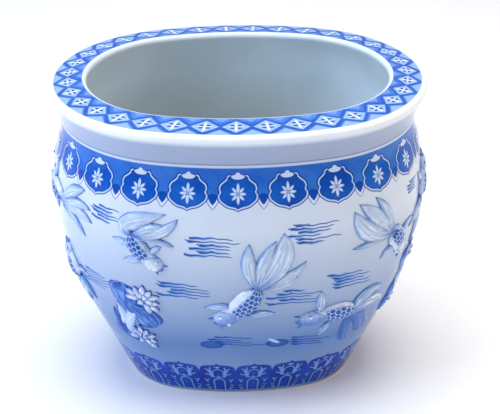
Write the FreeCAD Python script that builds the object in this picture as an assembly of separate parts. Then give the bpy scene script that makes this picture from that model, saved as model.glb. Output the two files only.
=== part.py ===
# Chinese fish bowl: an oval porcelain jardiniere, thrown and turned in sections that are
# luted together, with press-moulded goldfish and lotus applied to its wall.
# Millimetres. Length along X, the front faces -Y, Z up, origin in the middle of the foot's underside.
import FreeCAD, Part
import math
import os

Vector = FreeCAD.Vector
UP = Vector(0, 0, 1)
MIDDLE = Vector(0, 0, 0)

# The oval: four arcs, offset alike at every height
end_centre_out = 53.3
side_centre_back = 201.3

# Outside of the wall, by the oval's half length, each place measured from the last: a straight
# flare from the foot, one round sweep into the upright belly, and a soft double curve through the
# collar into the neck
foot_half_length = 131.0
foot_bevel = 1.6
flare_height = 99.0
flare_beyond_foot = 42.5
belly_beyond_flare = 27.5
upright_belly_height = 25.2
collar_height = 60.0
neck_inside_belly = 9.5
collar_curve_share = 0.66

# The cove under the rim, and the flat rim, which rises a little from its rounded edge to the mouth
cove_height = 17.0
cove_beyond_neck = 3.7
rim_edge_above_cove = 17.0
rim_beyond_neck = 11.5
rim_edge_radius = 5.5
rim_rise = 9.0
rim_width = 41.0
mouth_lip_radius = 4.5
lip_end_degrees = 200.0

# Thickness of the clay, the recess under the base and the seam at the belly
wall_thickness = 11.0
foot_ring_width = 17.0
recess_depth = 10.0
base_thickness = 13.0
seam_above_flare = 71.0

# How far each kind of applied piece stands proud of the wall, and how deep it is keyed first
body_rise = 8.5
tail_rise = 5.2
fin_rise = 3.6
leaf_rise = 3.2
petal_rise = 5.4
keyed_depth = 3.0
keyed_deeper = 0.5

# Each goldfish: shares of the way round a face from its middle to the tail root, of the belly's
# top height, and of the field that the castings fill, for the fish's length
left_edge_shares = (-0.395, 0.9375, 0.2031)
upper_left_shares = (-0.2067, 0.9297, 0.1953)
middle_shares = (0.0258, 0.6992, 0.2578)
upper_right_shares = (0.299, 0.8516, 0.2031)
right_edge_shares = (0.4485, 0.8672, 0.2109)
lower_right_shares = (0.2289, 0.4844, 0.2734)
lower_left_shares = (-0.3747, 0.5859, 0.1953)

# The same for the middle and the height of each lotus cluster
lotus_left_shares = (-0.2178, 0.5, 0.2891)
lotus_right_shares = (0.4171, 0.5078, 0.2578)

# The field is as tall as the belly's top, or this share of the way round a face if that is less
field_share = 0.4725

# A cut-off bit under this share of its piece is wiped away with the slip
crumb_share = 0.04

# Run of cutting slabs past the work
overrun = 20.0

# Shares of a moulded lobe's greatest width and rise, from its root to its tip
soft_width_shares = (0.42, 1.0, 0.34)
soft_rise_shares = (0.75, 1.0, 0.30)
blunt_width_shares = (0.55, 1.0, 0.50)
thin_width_shares = (0.55, 1.0, 0.12)
thin_rise_shares = (0.9, 1.0, -0.4)

# The same for a goldfish, from its tail root over belly and gill to its snout
body_width_shares = (0.34, 0.98, 0.92, 0.72, 0.30)
body_rise_shares = (0.55, 0.98, 1.0, 0.84, 0.10)

# Where a rounded lobe's shoulders stand, of its half width and of its rise
shoulder_out_share = 0.62
shoulder_up_share = 0.76

# The fish's form in shares of its length, (round, up) from its tail root. Belly and snout give its
# line, a tail lobe has its middle, tip and width, and a fin its root, tip and width.
left_edge_form_shares = {
    "belly": (-0.33, 0.13), "snout": (-0.96, 0.19), "width": 0.50,
    "tail": [((0.46, 0.42), (0.88, 0.60), 0.30), ((0.56, 0.08), (1.04, -0.08), 0.32),
             ((0.46, -0.21), (0.81, -0.46), 0.24)],
    "fins": [((-0.45, 0.36), (-0.31, 0.80), 0.20), ((-0.40, -0.08), (-0.60, -0.50), 0.16)],
}
upper_left_form_shares = {
    "belly": (0.16, -0.29), "snout": (0.66, -0.83), "width": 0.46,
    "tail": [((0.04, 0.44), (0.70, 0.58), 0.46), ((0.56, 0.12), (0.92, 0.48), 0.32),
             ((0.48, -0.08), (0.82, -0.15), 0.20)],
    "fins": [((0.02, -0.16), (-0.42, -0.17), 0.14), ((0.20, -0.55), (-0.18, -0.62), 0.16),
             ((0.36, -0.33), (0.62, -0.10), 0.14)],
}
middle_form_shares = {
    "belly": (-0.22, -0.30), "snout": (-0.76, -0.71), "width": 0.54,
    "tail": [((-0.17, 0.45), (-0.13, 0.83), 0.26), ((0.07, 0.50), (0.28, 0.89), 0.26),
             ((0.36, 0.53), (0.40, 1.02), 0.44), ((0.46, 0.16), (0.73, 0.47), 0.24)],
    "fins": [((-0.36, -0.32), (-0.82, -0.39), 0.15), ((-0.11, -0.53), (0.29, -0.52), 0.12)],
}
upper_right_form_shares = {
    "belly": (0.21, -0.21), "snout": (0.50, -0.69), "width": 0.50,
    "tail": [((-0.58, 0.35), (-0.92, 0.79), 0.42), ((-0.40, 0.54), (-0.82, 0.90), 0.36),
             ((-0.12, 0.48), (-0.47, 0.96), 0.24), ((-0.52, -0.02), (-0.95, -0.06), 0.18)],
    "fins": [((-0.02, -0.33), (-0.25, -0.53), 0.14), ((0.38, -0.12), (0.85, -0.04), 0.16)],
}
right_edge_form_shares = {
    "belly": (0.05, 0.33), "snout": (0.13, 0.93), "width": 0.46,
    "tail": [((-0.31, -0.13), (-0.80, -0.30), 0.25), ((-0.17, -0.44), (-0.54, -0.81), 0.28),
             ((0.06, -0.56), (-0.09, -1.0), 0.29), ((0.35, -0.41), (0.61, -0.81), 0.22)],
    "fins": [((-0.15, 0.44), (-0.43, 0.74), 0.15), ((0.29, 0.41), (0.57, 0.63), 0.15)],
}
lower_right_form_shares = {
    "belly": (-0.29, 0.14), "snout": (-0.95, 0.0), "width": 0.40,
    "tail": [((0.20, 0.34), (0.58, 0.33), 0.26), ((0.37, 0.13), (0.74, -0.03), 0.28),
             ((0.30, -0.26), (0.43, -0.57), 0.32), ((-0.01, -0.37), (0.06, -0.66), 0.22)],
    "fins": [((-0.57, 0.22), (-0.61, 0.60), 0.17), ((-0.41, -0.08), (-0.52, -0.39), 0.13)],
}
lower_left_form_shares = {
    "belly": (-0.18, 0.26), "snout": (-0.38, 0.76), "width": 0.46,
    "tail": [((0.18, -0.16), (0.42, -0.46), 0.26), ((-0.02, -0.34), (0.0, -0.72), 0.32),
             ((-0.26, -0.22), (-0.50, -0.56), 0.26)],
    "fins": [((-0.02, 0.22), (0.36, 0.28), 0.15), ((-0.40, 0.30), (-0.72, 0.20), 0.15)],
}

# Shares of a lotus cluster's height, (round, up) from its middle. A leaf has its root, middle, tip
# and width. A blossom has its base, its petals' length and the directions of its first and last petal.
lotus_form_shares = {
    "leaves": [((-0.02, 0.20), (-0.16, 0.42), (-0.30, 0.60), 0.30),
               ((0.10, 0.12), (0.22, -0.02), (0.32, -0.22), 0.34),
               ((-0.06, -0.26), (-0.26, -0.34), (-0.44, -0.28), 0.22)],
    "blossoms": [((0.09, 0.32), 0.36, 150.0, -45.0), ((-0.02, -0.46), 0.32, 140.0, -50.0)],
}
petal_count = 5
petal_width_share = 0.46

# Straight bands that a turner's template gives each round stretch of the section
slight_taper_share = 0.2
sweep_band_count = 4
collar_band_count = 3
neck_band_count = 2
cove_band_count = 2
edge_band_count = 3
lip_band_count = 3
inside_band_count = 3

side_from_end_centre = math.hypot(end_centre_out, side_centre_back)
end_half_angle = math.atan2(side_centre_back, end_centre_out)
side_half_angle = math.pi / 2 - end_half_angle


def oval_arcs():
    """Centre, extra radius, start and sweep of the oval's four arcs, from the right end round."""
    end = 2 * end_half_angle
    side = 2 * side_half_angle
    return [
        (Vector(end_centre_out, 0, 0), 0, -end_half_angle, end),
        (Vector(0, -side_centre_back, 0), side_from_end_centre, end_half_angle, side),
        (Vector(-end_centre_out, 0, 0), 0, math.pi - end_half_angle, end),
        (Vector(0, side_centre_back, 0), side_from_end_centre, math.pi + end_half_angle, side),
    ]


def turned(section):
    """A section, drawn with X as the oval's half length, swept round all four arcs."""
    sectors = []
    for centre, extra, start, sweep in oval_arcs():
        face = section.copy()
        face.translate(Vector(extra - end_centre_out, 0, 0))
        face.rotate(MIDDLE, UP, math.degrees(start))
        face.translate(centre)
        sectors.append(face.revolve(centre, UP, math.degrees(sweep)))
    return sectors[0].multiFuse(sectors[1:])


def oval_slab(half_length, bottom, thickness):
    """Level slab with the oval's outline."""
    edges = []
    for centre, extra, start, sweep in oval_arcs():
        radius = half_length - end_centre_out + extra
        circle = Part.Circle(centre + Vector(0, 0, bottom), UP, radius)
        edges.append(Part.ArcOfCircle(circle, start, start + sweep).toShape())
    return Part.Face(Part.Wire(edges)).extrude(Vector(0, 0, thickness))


def round_from(middle, radius, first_turn, last_turn):
    """Arc in the section's plane from one direction to another, in degrees from outward."""
    places = []
    for turn in (first_turn, (first_turn + last_turn) / 2, last_turn):
        angle = math.radians(turn)
        places.append(middle + Vector(radius * math.cos(angle), 0, radius * math.sin(angle)))
    return Part.Arc(*places)


def upright_at_end(start, end):
    """Arc from a place to one above it, where it stands upright."""
    out = end.x - start.x
    up = end.z - start.z
    radius = (up * up + out * out) / (2 * out)
    middle = Vector(end.x - radius, 0, end.z)
    half_turn = math.atan2(up, abs(radius - out)) / 2
    between = middle + Vector(radius * math.cos(half_turn), 0, -abs(radius) * math.sin(half_turn))
    return Part.Arc(start, between, end)


def outside_line():
    """Straight and round stretches of the wall's outside, from the foot's bevel up to the neck."""
    foot = Vector(foot_half_length, 0, foot_bevel)
    flare = Vector(foot.x + flare_beyond_foot, 0, flare_height)
    lean = math.atan2(flare.x - foot.x, flare.z - foot.z)
    sweep_radius = belly_beyond_flare / (1 - math.cos(lean))
    belly = flare + Vector(belly_beyond_flare, 0, sweep_radius * math.sin(lean))
    belly_top = belly + Vector(0, 0, upright_belly_height)
    neck = belly_top + Vector(-neck_inside_belly, 0, collar_height)
    turn = belly_top + (neck - belly_top) * collar_curve_share
    return [
        (Part.LineSegment(foot, flare), 1),
        (upright_at_end(flare, belly), sweep_band_count),
        (Part.LineSegment(belly, belly_top), 1),
        (upright_at_end(turn, belly_top), collar_band_count),
        (upright_at_end(turn, neck), neck_band_count),
    ]


def banded(stretches):
    """Corners of the closed section, each stretch followed from where the last one ended."""
    corners = [stretches[0][0].StartPoint]
    for stretch, bands in stretches:
        ahead = stretch.StartPoint.distanceToPoint(corners[-1]) < stretch.EndPoint.distanceToPoint(corners[-1])
        low, high = stretch.FirstParameter, stretch.LastParameter
        for band in range(1, bands + 1):
            share = band / bands if ahead else 1 - band / bands
            corners.append(stretch.value(low + (high - low) * share))
    return corners


def template_edge(start, end):
    """Edge of the section. One that is nearly upright is a straight spline, which sweeps into a
    ruled band that takes fewer facets than a cone."""
    line = Part.LineSegment(start, end)
    out = abs(end.x - start.x)
    up = abs(end.z - start.z)
    cylinder = out <= Part.Vertex(start).Tolerance
    return line.toBSpline().toShape() if not cylinder and out < slight_taper_share * up else line.toShape()


def wall_section(outside):
    """Face of the whole wall and rim, cut through at one end of the oval."""
    neck = outside[-1][0].EndPoint
    cove_middle = neck + Vector(cove_beyond_neck, 0, cove_height)
    rim_edge = Vector(neck.x + rim_beyond_neck, 0, cove_middle.z + rim_edge_above_cove)
    edge = round_from(rim_edge - Vector(rim_edge_radius, 0, 0), rim_edge_radius, -45, 90)
    lip_middle = rim_edge + Vector(mouth_lip_radius - rim_width, 0, rim_rise - mouth_lip_radius)
    lip = round_from(lip_middle, mouth_lip_radius, 90, lip_end_degrees)
    cove = Part.Arc(neck, cove_middle, edge.StartPoint)
    inward = Vector(-wall_thickness, 0, 0)
    flare, sweep, belly = [stretch for stretch, bands in outside[:3]]
    shelf = Vector(foot_half_length - foot_ring_width, 0, recess_depth)
    slope = (flare.EndPoint.x - flare.StartPoint.x) / (flare.EndPoint.z - flare.StartPoint.z)
    root = Vector(flare.StartPoint.x + slope * (recess_depth - foot_bevel), 0, recess_depth) + inward
    ring_inside = Vector(shelf.x, 0, 0)
    bevel_under = Vector(foot_half_length - foot_bevel, 0, 0)
    corners = banded(outside + [
        (cove, cove_band_count),
        (edge, edge_band_count),
        (Part.LineSegment(edge.EndPoint, lip.StartPoint), 1),
        (lip, lip_band_count),
        (upright_at_end(lip.EndPoint, belly.EndPoint + inward), inside_band_count),
        (Part.LineSegment(belly.EndPoint + inward, belly.StartPoint + inward), 1),
        (upright_at_end(flare.EndPoint + inward, belly.StartPoint + inward), sweep_band_count),
        (Part.LineSegment(flare.EndPoint + inward, root), 1),
    ])
    corners += [shelf, ring_inside, bevel_under]
    return Part.Face(Part.Wire([template_edge(a, b) for a, b in zip(corners, corners[1:] + corners[:1])]))


def between_heights(shape, bottom, top):
    """The part of a shape between two levels."""
    box = shape.BoundBox
    reach = box.XMax + overrun
    slab = Part.makeBox(2 * reach, 2 * reach, top - bottom, Vector(-reach, -reach, bottom))
    return shape.common(slab)


def half_length_at(height):
    """Half length of the wall's outside at a height, on the straight band that holds it."""
    low, high = [band for band in zip(OUTSIDE_CORNERS, OUTSIDE_CORNERS[1:]) if band[0].z <= height][-1]
    return low.x + (high.x - low.x) * (height - low.z) / (high.z - low.z)


def face_reaches():
    """How far round the neck the front's side arc reaches from its middle, and the end arc's length."""
    end_radius = NECK.x - end_centre_out
    return side_half_angle * (end_radius + side_from_end_centre), 2 * end_half_angle * end_radius


def wall_spot(reach, height, proud):
    """Point proud of the wall's outside, a reach round it from the front middle, taken at the neck."""
    end_radius = NECK.x - end_centre_out
    side_reach, end_reach = face_reaches()
    past = abs(reach) - side_reach
    radius = half_length_at(height) - end_centre_out + proud
    if past <= 0:
        turn = abs(reach) / (end_radius + side_from_end_centre)
        centre = Vector(0, side_centre_back, height)
        radius += side_from_end_centre
    elif past <= end_reach:
        turn = side_half_angle + past / end_radius
        centre = Vector(math.copysign(end_centre_out, reach), 0, height)
    else:
        turn = side_half_angle + 2 * end_half_angle
        turn += (past - end_reach) / (end_radius + side_from_end_centre)
        centre = Vector(0, -side_centre_back, height)
        radius += side_from_end_centre
    azimuth = math.copysign(turn, reach) - math.pi / 2
    return centre + Vector(radius * math.cos(azimuth), radius * math.sin(azimuth), 0)


def along(route, share):
    """Place and sideways direction on the smooth line through a route's root, middle and tip."""
    root, middle, tip = route
    bend = [2 * m - (r + t) / 2 for r, m, t in zip(root, middle, tip)]
    rest = 1 - share
    place = [rest * rest * r + 2 * share * rest * b + share * share * t for r, b, t in zip(root, bend, tip)]
    run = [2 * rest * (b - r) + 2 * share * (t - b) for r, b, t in zip(root, bend, tip)]
    size = math.hypot(*run)
    return place, (-run[1] / size, run[0] / size)


def flat_facets(rings):
    """Closed solid of flat facets through rings of points, capped at both ends."""
    faces = [Part.Face(Part.makePolygon(ring + ring[:1])) for ring in (rings[0], rings[-1])]
    for ring, after in zip(rings, rings[1:]):
        for index in range(len(ring)):
            corner = (index + 1) % len(ring)
            for three in ([ring[index], ring[corner], after[corner]], [ring[index], after[corner], after[index]]):
                faces.append(Part.Face(Part.makePolygon(three + three[:1])))
    shell = Part.makeShell(faces)
    shell.sewShape()
    return Part.makeSolid(shell)


def lobe(route, width, rise, width_shares, rise_shares, step=0, rounded=True):
    """Moulded lobe that lies on the wall along a route. It starts a few key steps under the wall's
    face, a different number for each lobe that meets another, so that no two undersides are level."""
    rings = []
    last = len(width_shares) - 1
    for index, (width_share, rise_share) in enumerate(zip(width_shares, rise_shares)):
        place, sideways = along(route, index / last)
        half = width * width_share / 2
        top = wall_spot(place[0], place[1], rise * rise_share)
        sides = []
        for sign in (1, -1):
            out = sign * half
            sides.append(wall_spot(place[0] + out * sideways[0], place[1] + out * sideways[1],
                                   -keyed_depth - step * keyed_deeper))
        under = (sides[0] + sides[1]) * 0.5
        shoulders = [under + (side - under) * shoulder_out_share + (top - under) * shoulder_up_share
                     for side in sides]
        if rounded:
            rings.append([sides[0], shoulders[0], top, shoulders[1], sides[1]])
        else:
            rings.append([sides[0], top, sides[1]])
    return flat_facets(rings)


def seated(shape, neighbours, wall):
    """What is left of a piece outside its neighbours and the wall, as whole solids."""
    for neighbour in neighbours + [wall]:
        shape = shape.cut(neighbour)
    whole = max(solid.Volume for solid in shape.Solids)
    return [solid for solid in shape.Solids if solid.Volume > crumb_share * whole]


def fish_place(root, length, shares):
    """A place on the wall from shares of the fish's length."""
    return (root[0] + length * shares[0], root[1] + length * shares[1])


def goldfish(wall, root, length, shares):
    """Body, tail and fins of one goldfish, each seated on the wall and against the last."""
    belly = fish_place(root, length, shares["belly"])
    snout = fish_place(root, length, shares["snout"])
    route = (root, belly, snout)
    width = length * shares["width"]
    body = lobe(route, width, body_rise, body_width_shares, body_rise_shares)
    lobes = []
    for step, (lobe_middle, tip, share) in enumerate(shares["tail"], 1):
        tail_route = (root, fish_place(root, length, lobe_middle), fish_place(root, length, tip))
        lobes.append(lobe(tail_route, length * share, tail_rise,
                          soft_width_shares, soft_rise_shares, step, rounded=False))
    tail = lobes[0].multiFuse(lobes[1:])
    fins = []
    for fin_root, tip, share in shares["fins"]:
        ends = [fish_place(root, length, fin_root), fish_place(root, length, tip)]
        half_way = tuple((a + b) / 2 for a, b in zip(*ends))
        fin = lobe((ends[0], half_way, ends[1]), length * share, fin_rise,
                   thin_width_shares, thin_rise_shares, len(lobes) + 1, rounded=False)
        fins += seated(fin, [body, tail], wall)
    return {"body": seated(body, [], wall), "tail": seated(tail, [body], wall), "fins": fins}


def lotus(wall, place, size):
    """Leaves, blossoms and reeds of one lotus cluster, the blossoms over the leaves."""
    blossoms = []
    for base, petal_share, first, last in lotus_form_shares["blossoms"]:
        length = size * petal_share
        root = fish_place(place, size, base)
        petals = []
        for index in range(petal_count):
            turn = math.radians(first + (last - first) * index / (petal_count - 1))
            tip = (root[0] + length * math.cos(turn), root[1] + length * math.sin(turn))
            half_way = tuple((a + b) / 2 for a, b in zip(root, tip))
            petals.append(lobe((root, half_way, tip), length * petal_width_share, petal_rise,
                               thin_width_shares, thin_rise_shares, index % 2, rounded=False))
        blossoms.append(petals[0].multiFuse(petals[1:]))
    leaves = []
    for root, middle, tip, share in lotus_form_shares["leaves"]:
        route = [fish_place(place, size, spot) for spot in (root, middle, tip)]
        step = len(leaves) + 2
        leaf = lobe(route, size * share, leaf_rise, blunt_width_shares, soft_rise_shares, step)
        leaves.append(leaf)
    pads = []
    for index, leaf in enumerate(leaves):
        pads += seated(leaf, blossoms + leaves[:index], wall)
    flowers = [solid for blossom in blossoms for solid in seated(blossom, [], wall)]
    return {"leaves": pads, "blossoms": flowers}


def with_twin(solids):
    """Pieces from one mould: a casting on this face, and one turned half round on the other."""
    twins = [solid.copy() for solid in solids]
    for twin in twins:
        twin.rotate(MIDDLE, UP, 180)
    return Part.makeCompound(solids + twins)


def vessel():
    """The turned sections of the bowl, and the whole wall that they make."""
    wall = turned(wall_section(OUTSIDE))
    floor = oval_slab(foot_half_length, recess_depth, base_thickness).cut(wall)
    seam_height = flare_height + seam_above_flare
    return wall, {
        "foot_ring": between_heights(wall, 0, recess_depth),
        "base_slab": max(floor.Solids, key=lambda solid: solid.Volume),
        "lower_wall": between_heights(wall, recess_depth, seam_height),
        "upper_wall": between_heights(wall, seam_height, NECK.z),
        "rim": between_heights(wall, NECK.z, wall.BoundBox.ZMax + overrun),
    }


def on_the_field(shares):
    """Place on the wall and length of a casting, from its shares."""
    side_reach, end_reach = face_reaches()
    way_round = 2 * side_reach + end_reach
    belly_top = OUTSIDE[2][0].EndPoint
    field = min(belly_top.z, field_share * way_round)
    return (shares[0] * way_round, shares[1] * belly_top.z), shares[2] * field


def build():
    wall, pieces = vessel()
    school = {
        "left_edge": (left_edge_shares, left_edge_form_shares),
        "upper_left": (upper_left_shares, upper_left_form_shares),
        "middle": (middle_shares, middle_form_shares),
        "upper_right": (upper_right_shares, upper_right_form_shares),
        "right_edge": (right_edge_shares, right_edge_form_shares),
        "lower_right": (lower_right_shares, lower_right_form_shares),
        "lower_left": (lower_left_shares, lower_left_form_shares),
    }
    for name, (shares, form_shares) in school.items():
        root, length = on_the_field(shares)
        for part, solids in goldfish(wall, root, length, form_shares).items():
            pieces["goldfish_%s_%s" % (name, part)] = with_twin(solids)
    for name, shares in {"left": lotus_left_shares, "right": lotus_right_shares}.items():
        place, size = on_the_field(shares)
        for part, solids in lotus(wall, place, size).items():
            pieces["lotus_%s_%s" % (name, part)] = with_twin(solids)
    return pieces


# The wall's outside, its straight bands and the neck, which the castings and the sections share
OUTSIDE = outside_line()
OUTSIDE_CORNERS = banded(OUTSIDE)
NECK = OUTSIDE_CORNERS[-1]

os.makedirs("parts", exist_ok=True)
for name, shape in build().items():
    shape.exportStep("parts/%s.step" % name)
    print(name, len(shape.Solids), round(shape.Volume), shape.isValid())
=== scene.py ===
"""Glazes, painting and applied relief of an oval porcelain fish bowl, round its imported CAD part."""

import ast
import math
import operator

import bpy
import numpy as np
from mathutils import Matrix, Vector


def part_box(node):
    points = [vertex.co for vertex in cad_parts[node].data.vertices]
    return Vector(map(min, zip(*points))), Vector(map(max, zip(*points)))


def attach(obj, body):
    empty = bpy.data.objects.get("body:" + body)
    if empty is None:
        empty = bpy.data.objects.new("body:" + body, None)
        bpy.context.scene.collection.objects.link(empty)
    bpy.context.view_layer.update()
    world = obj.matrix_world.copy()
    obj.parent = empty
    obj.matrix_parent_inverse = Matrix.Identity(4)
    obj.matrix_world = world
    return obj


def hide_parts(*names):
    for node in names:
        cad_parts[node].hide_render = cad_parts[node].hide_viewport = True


bl_info = {
    "name": "Blue and White Fish Bowl",
    "version": (1, 0, 0),
    "blender": (4, 5, 0),
    "location": "View3D > Sidebar > Fish Bowl",
    "description": "Shapes, glazes and paints an oval porcelain fish bowl round its CAD part",
    "category": "Object",
}

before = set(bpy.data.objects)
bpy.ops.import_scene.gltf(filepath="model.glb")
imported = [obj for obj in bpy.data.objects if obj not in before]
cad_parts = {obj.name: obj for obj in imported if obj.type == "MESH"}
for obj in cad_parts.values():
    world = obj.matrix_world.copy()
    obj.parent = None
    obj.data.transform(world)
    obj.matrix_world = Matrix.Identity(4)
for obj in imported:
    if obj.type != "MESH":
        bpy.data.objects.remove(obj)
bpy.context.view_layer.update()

# Sizes below are millimetres, until a mesh is made
MM = 0.001

# The oval: four arcs, offset alike at every height
END_CENTRE_OUT = 53.3
SIDE_CENTRE_BACK = 201.3
SIDE_FROM_END_CENTRE = math.hypot(END_CENTRE_OUT, SIDE_CENTRE_BACK)
END_HALF_TURN = math.atan2(SIDE_CENTRE_BACK, END_CENTRE_OUT)
SIDE_HALF_TURN = math.pi / 2 - END_HALF_TURN
TURNS = np.array([0, SIDE_HALF_TURN, SIDE_HALF_TURN + 2 * END_HALF_TURN, math.pi])

# Heights where the CAD part is divided, read from the frame
RECESS_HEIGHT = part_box("foot_ring")[1].z / MM
SEAM_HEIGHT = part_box("lower_wall")[1].z / MM
FLOOR_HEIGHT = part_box("base_slab")[1].z / MM
NECK_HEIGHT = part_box("upper_wall")[1].z / MM
RIM_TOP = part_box("rim")[1].z / MM
RIM_HALF_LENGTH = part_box("rim")[1].x / MM

# The wall's outside, by the oval's half length and the height
FOOT = (131.0, 1.6)
FLARE = (173.5, 99.0)
BELLY_HALF_LENGTH = 201.0
BELLY_TOP = (BELLY_HALF_LENGTH, 256.0)
NECK = (191.5, NECK_HEIGHT)
COVE = (195.2, 333.0)
COLLAR_CURVE_SHARE = 0.66
RIM_EDGE_RADIUS = 5.5
RIM_EDGE = (RIM_HALF_LENGTH - RIM_EDGE_RADIUS, 350.0)
LIP_RADIUS = 4.5
LIP = (162.0 + LIP_RADIUS, RIM_TOP - LIP_RADIUS)
WALL = 11.0
FOOT_RING_WIDTH = 17.0
FOOT_RING_BEVEL = 1.0

# Half length of the smallest oval that the floor slab is turned to. Inside it the slab is flat.
FLOOR_MIDDLE = END_CENTRE_OUT + 6

# Where the painted bands start, as shares of their spacing from the front middle
LAPPET_START_SHARE = -0.19
MEDALLION_SHIFT_SHARE = 0.097
LOZENGE_SHIFT_SHARE = 0.19

# How far apart the figures of each band are drawn, from middle to middle
LAPPET_PITCH = 41.0
MEDALLION_PITCH = 51.7
LOZENGE_PITCH = 30.0

# Heights where the painted shade starts, where it is deepest and below which it eases again
SHADE_TOP = 246.0
SHADE_DEEPEST = 88.0
SHADE_EASE = 95.0

# Heights that the painting keeps to, from the collar's medallions up to the rim's edge
MEDALLION_HEIGHT = 290.0
COLLAR_TOP = 316.4
BEAD_HEIGHT = 317.9
THREAD_HEIGHT = 320.3
# Above this height the rim's round edge fades to a painted highlight
HIGHLIGHT_EDGE_HEIGHT = 345.5

# A section's own places stay this far from its cut ends
CUT_MARGIN = 0.2

# How many of the lip's places, from its top inwards, carry the rim's glaze
LIP_PLACES = 8


def upright_arc(start, end, count):
    """Places on the arc from start to end that stands upright at its end."""
    out, up = end[0] - start[0], end[1] - start[1]
    radius = (up * up + out * out) / (2 * out)
    heights = np.linspace(start[1], end[1], count)
    across = np.sqrt(radius * radius - (heights - end[1]) ** 2)
    return [(end[0] - radius + math.copysign(1, radius) * a, z) for a, z in zip(across, heights)]


def round_arc(middle, radius, first, last, count):
    """Places on an arc about a middle, by its directions in degrees from outward."""
    turns = np.radians(np.linspace(first, last, count))
    return [(middle[0] + radius * math.cos(t), middle[1] + radius * math.sin(t)) for t in turns]


def arc_through(first, between, last, count):
    """Places on the arc through three points."""
    p, q, r = [np.array(v) for v in (first, between, last)]
    sides = np.array([q - p, r - q])
    middle = np.linalg.solve(sides, [(q @ q - p @ p) / 2, (r @ r - q @ q) / 2])
    turns = [math.atan2(*(v - middle)[::-1]) for v in (p, r)]
    if turns[1] - turns[0] > math.pi:
        turns[1] -= 2 * math.pi
    if turns[0] - turns[1] > math.pi:
        turns[0] -= 2 * math.pi
    return round_arc(middle, np.linalg.norm(p - middle), *np.degrees(turns), count)


def line_between(start, end, count):
    """Places on the straight line between two places."""
    return [(start[0] + (end[0] - start[0]) * s, start[1] + (end[1] - start[1]) * s)
            for s in np.linspace(0, 1, count)]


def outside_line():
    """The outside of the section from the foot to the rim's edge, in order."""
    lean = math.atan2(FLARE[0] - FOOT[0], FLARE[1] - FOOT[1])
    radius = (BELLY_HALF_LENGTH - FLARE[0]) / (1 - math.cos(lean))
    belly = (BELLY_HALF_LENGTH, FLARE[1] + radius * math.sin(lean))
    turn = tuple(a + (b - a) * COLLAR_CURVE_SHARE for a, b in zip(BELLY_TOP, NECK))
    under_edge = round_arc(RIM_EDGE, RIM_EDGE_RADIUS, -45, -45, 1)[0]
    line = line_between(FOOT, FLARE, 34)
    line += upright_arc(FLARE, belly, 45)[1:]
    line += line_between(belly, BELLY_TOP, 10)[1:]
    line += upright_arc(turn, BELLY_TOP, 16)[::-1][1:]
    line += upright_arc(turn, NECK, 9)[1:]
    line += arc_through(NECK, COVE, under_edge, 16)[1:]
    line += round_arc(RIM_EDGE, RIM_EDGE_RADIUS, -45, 90, 13)[1:]
    return line, belly


OUTSIDE, BELLY = outside_line()
OUTSIDE_UP = [spot for spot in OUTSIDE if spot[1] <= COVE[1]]
HEIGHTS = np.array([spot[1] for spot in OUTSIDE_UP])
HALF_LENGTHS = np.array([spot[0] for spot in OUTSIDE_UP])


def inside_line():
    """The inside of the section from the mouth's lip down to the floor, in order."""
    belly_top, belly, flare = [(spot[0] - WALL, spot[1]) for spot in (BELLY_TOP, BELLY, FLARE)]
    foot = (np.interp(RECESS_HEIGHT, HEIGHTS, HALF_LENGTHS) - WALL, RECESS_HEIGHT)
    line = round_arc(LIP, LIP_RADIUS, 90, 200, 12)
    line += upright_arc(line[-1], belly_top, 24)[1:]
    line += line_between(belly_top, belly, 6)[1:]
    line += upright_arc(flare, belly, 24)[::-1][1:]
    line += line_between(flare, foot, 20)[1:]
    return line


def run_marks(half_length):
    """How far round the oval of this half length its arcs join, from the front middle."""
    end = half_length - END_CENTRE_OUT
    side = SIDE_HALF_TURN * (end + SIDE_FROM_END_CENTRE)
    return np.cumsum([0, side, 2 * END_HALF_TURN * end, side])


def oval_spot(half_length, turn):
    """Places and outward directions on an oval, where its normal has turned this far from the front."""
    half_length, turn = np.broadcast_arrays(np.asarray(half_length, float), np.asarray(turn, float))
    size = np.abs(turn)
    at_end = (size > TURNS[1]) & (size <= TURNS[2])
    centre_x = np.where(at_end, np.copysign(END_CENTRE_OUT, turn), 0)
    centre_y = np.where(at_end, 0, np.where(size <= TURNS[1], SIDE_CENTRE_BACK, -SIDE_CENTRE_BACK))
    radius = half_length - END_CENTRE_OUT + np.where(at_end, 0, SIDE_FROM_END_CENTRE)
    direction = np.stack([np.sin(turn), -np.cos(turn)], -1)
    return np.stack([centre_x, centre_y], -1) + radius[..., None] * direction, direction


def reach_turn(reach):
    """How far the wall's normal has turned at a reach round the neck from the front middle."""
    return np.copysign(np.interp(np.abs(reach), run_marks(NECK[0]), TURNS), reach)


def wall_place(reach, height, proud):
    """Places proud of the wall's outside, square to its face."""
    half = np.interp(height, HEIGHTS, HALF_LENGTHS)
    slope = np.interp(height + 1, HEIGHTS, HALF_LENGTHS) - np.interp(height - 1, HEIGHTS, HALF_LENGTHS)
    lean = np.arctan(slope / 2)
    spot, direction = oval_spot(half + proud * np.cos(lean), reach_turn(reach))
    return np.concatenate([spot, (height - proud * np.sin(lean))[..., None]], -1)


def placed(name, data):
    """A new object of this data, linked to the scene."""
    thing = bpy.data.objects.new(name, data)
    bpy.context.scene.collection.objects.link(thing)
    return thing


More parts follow.
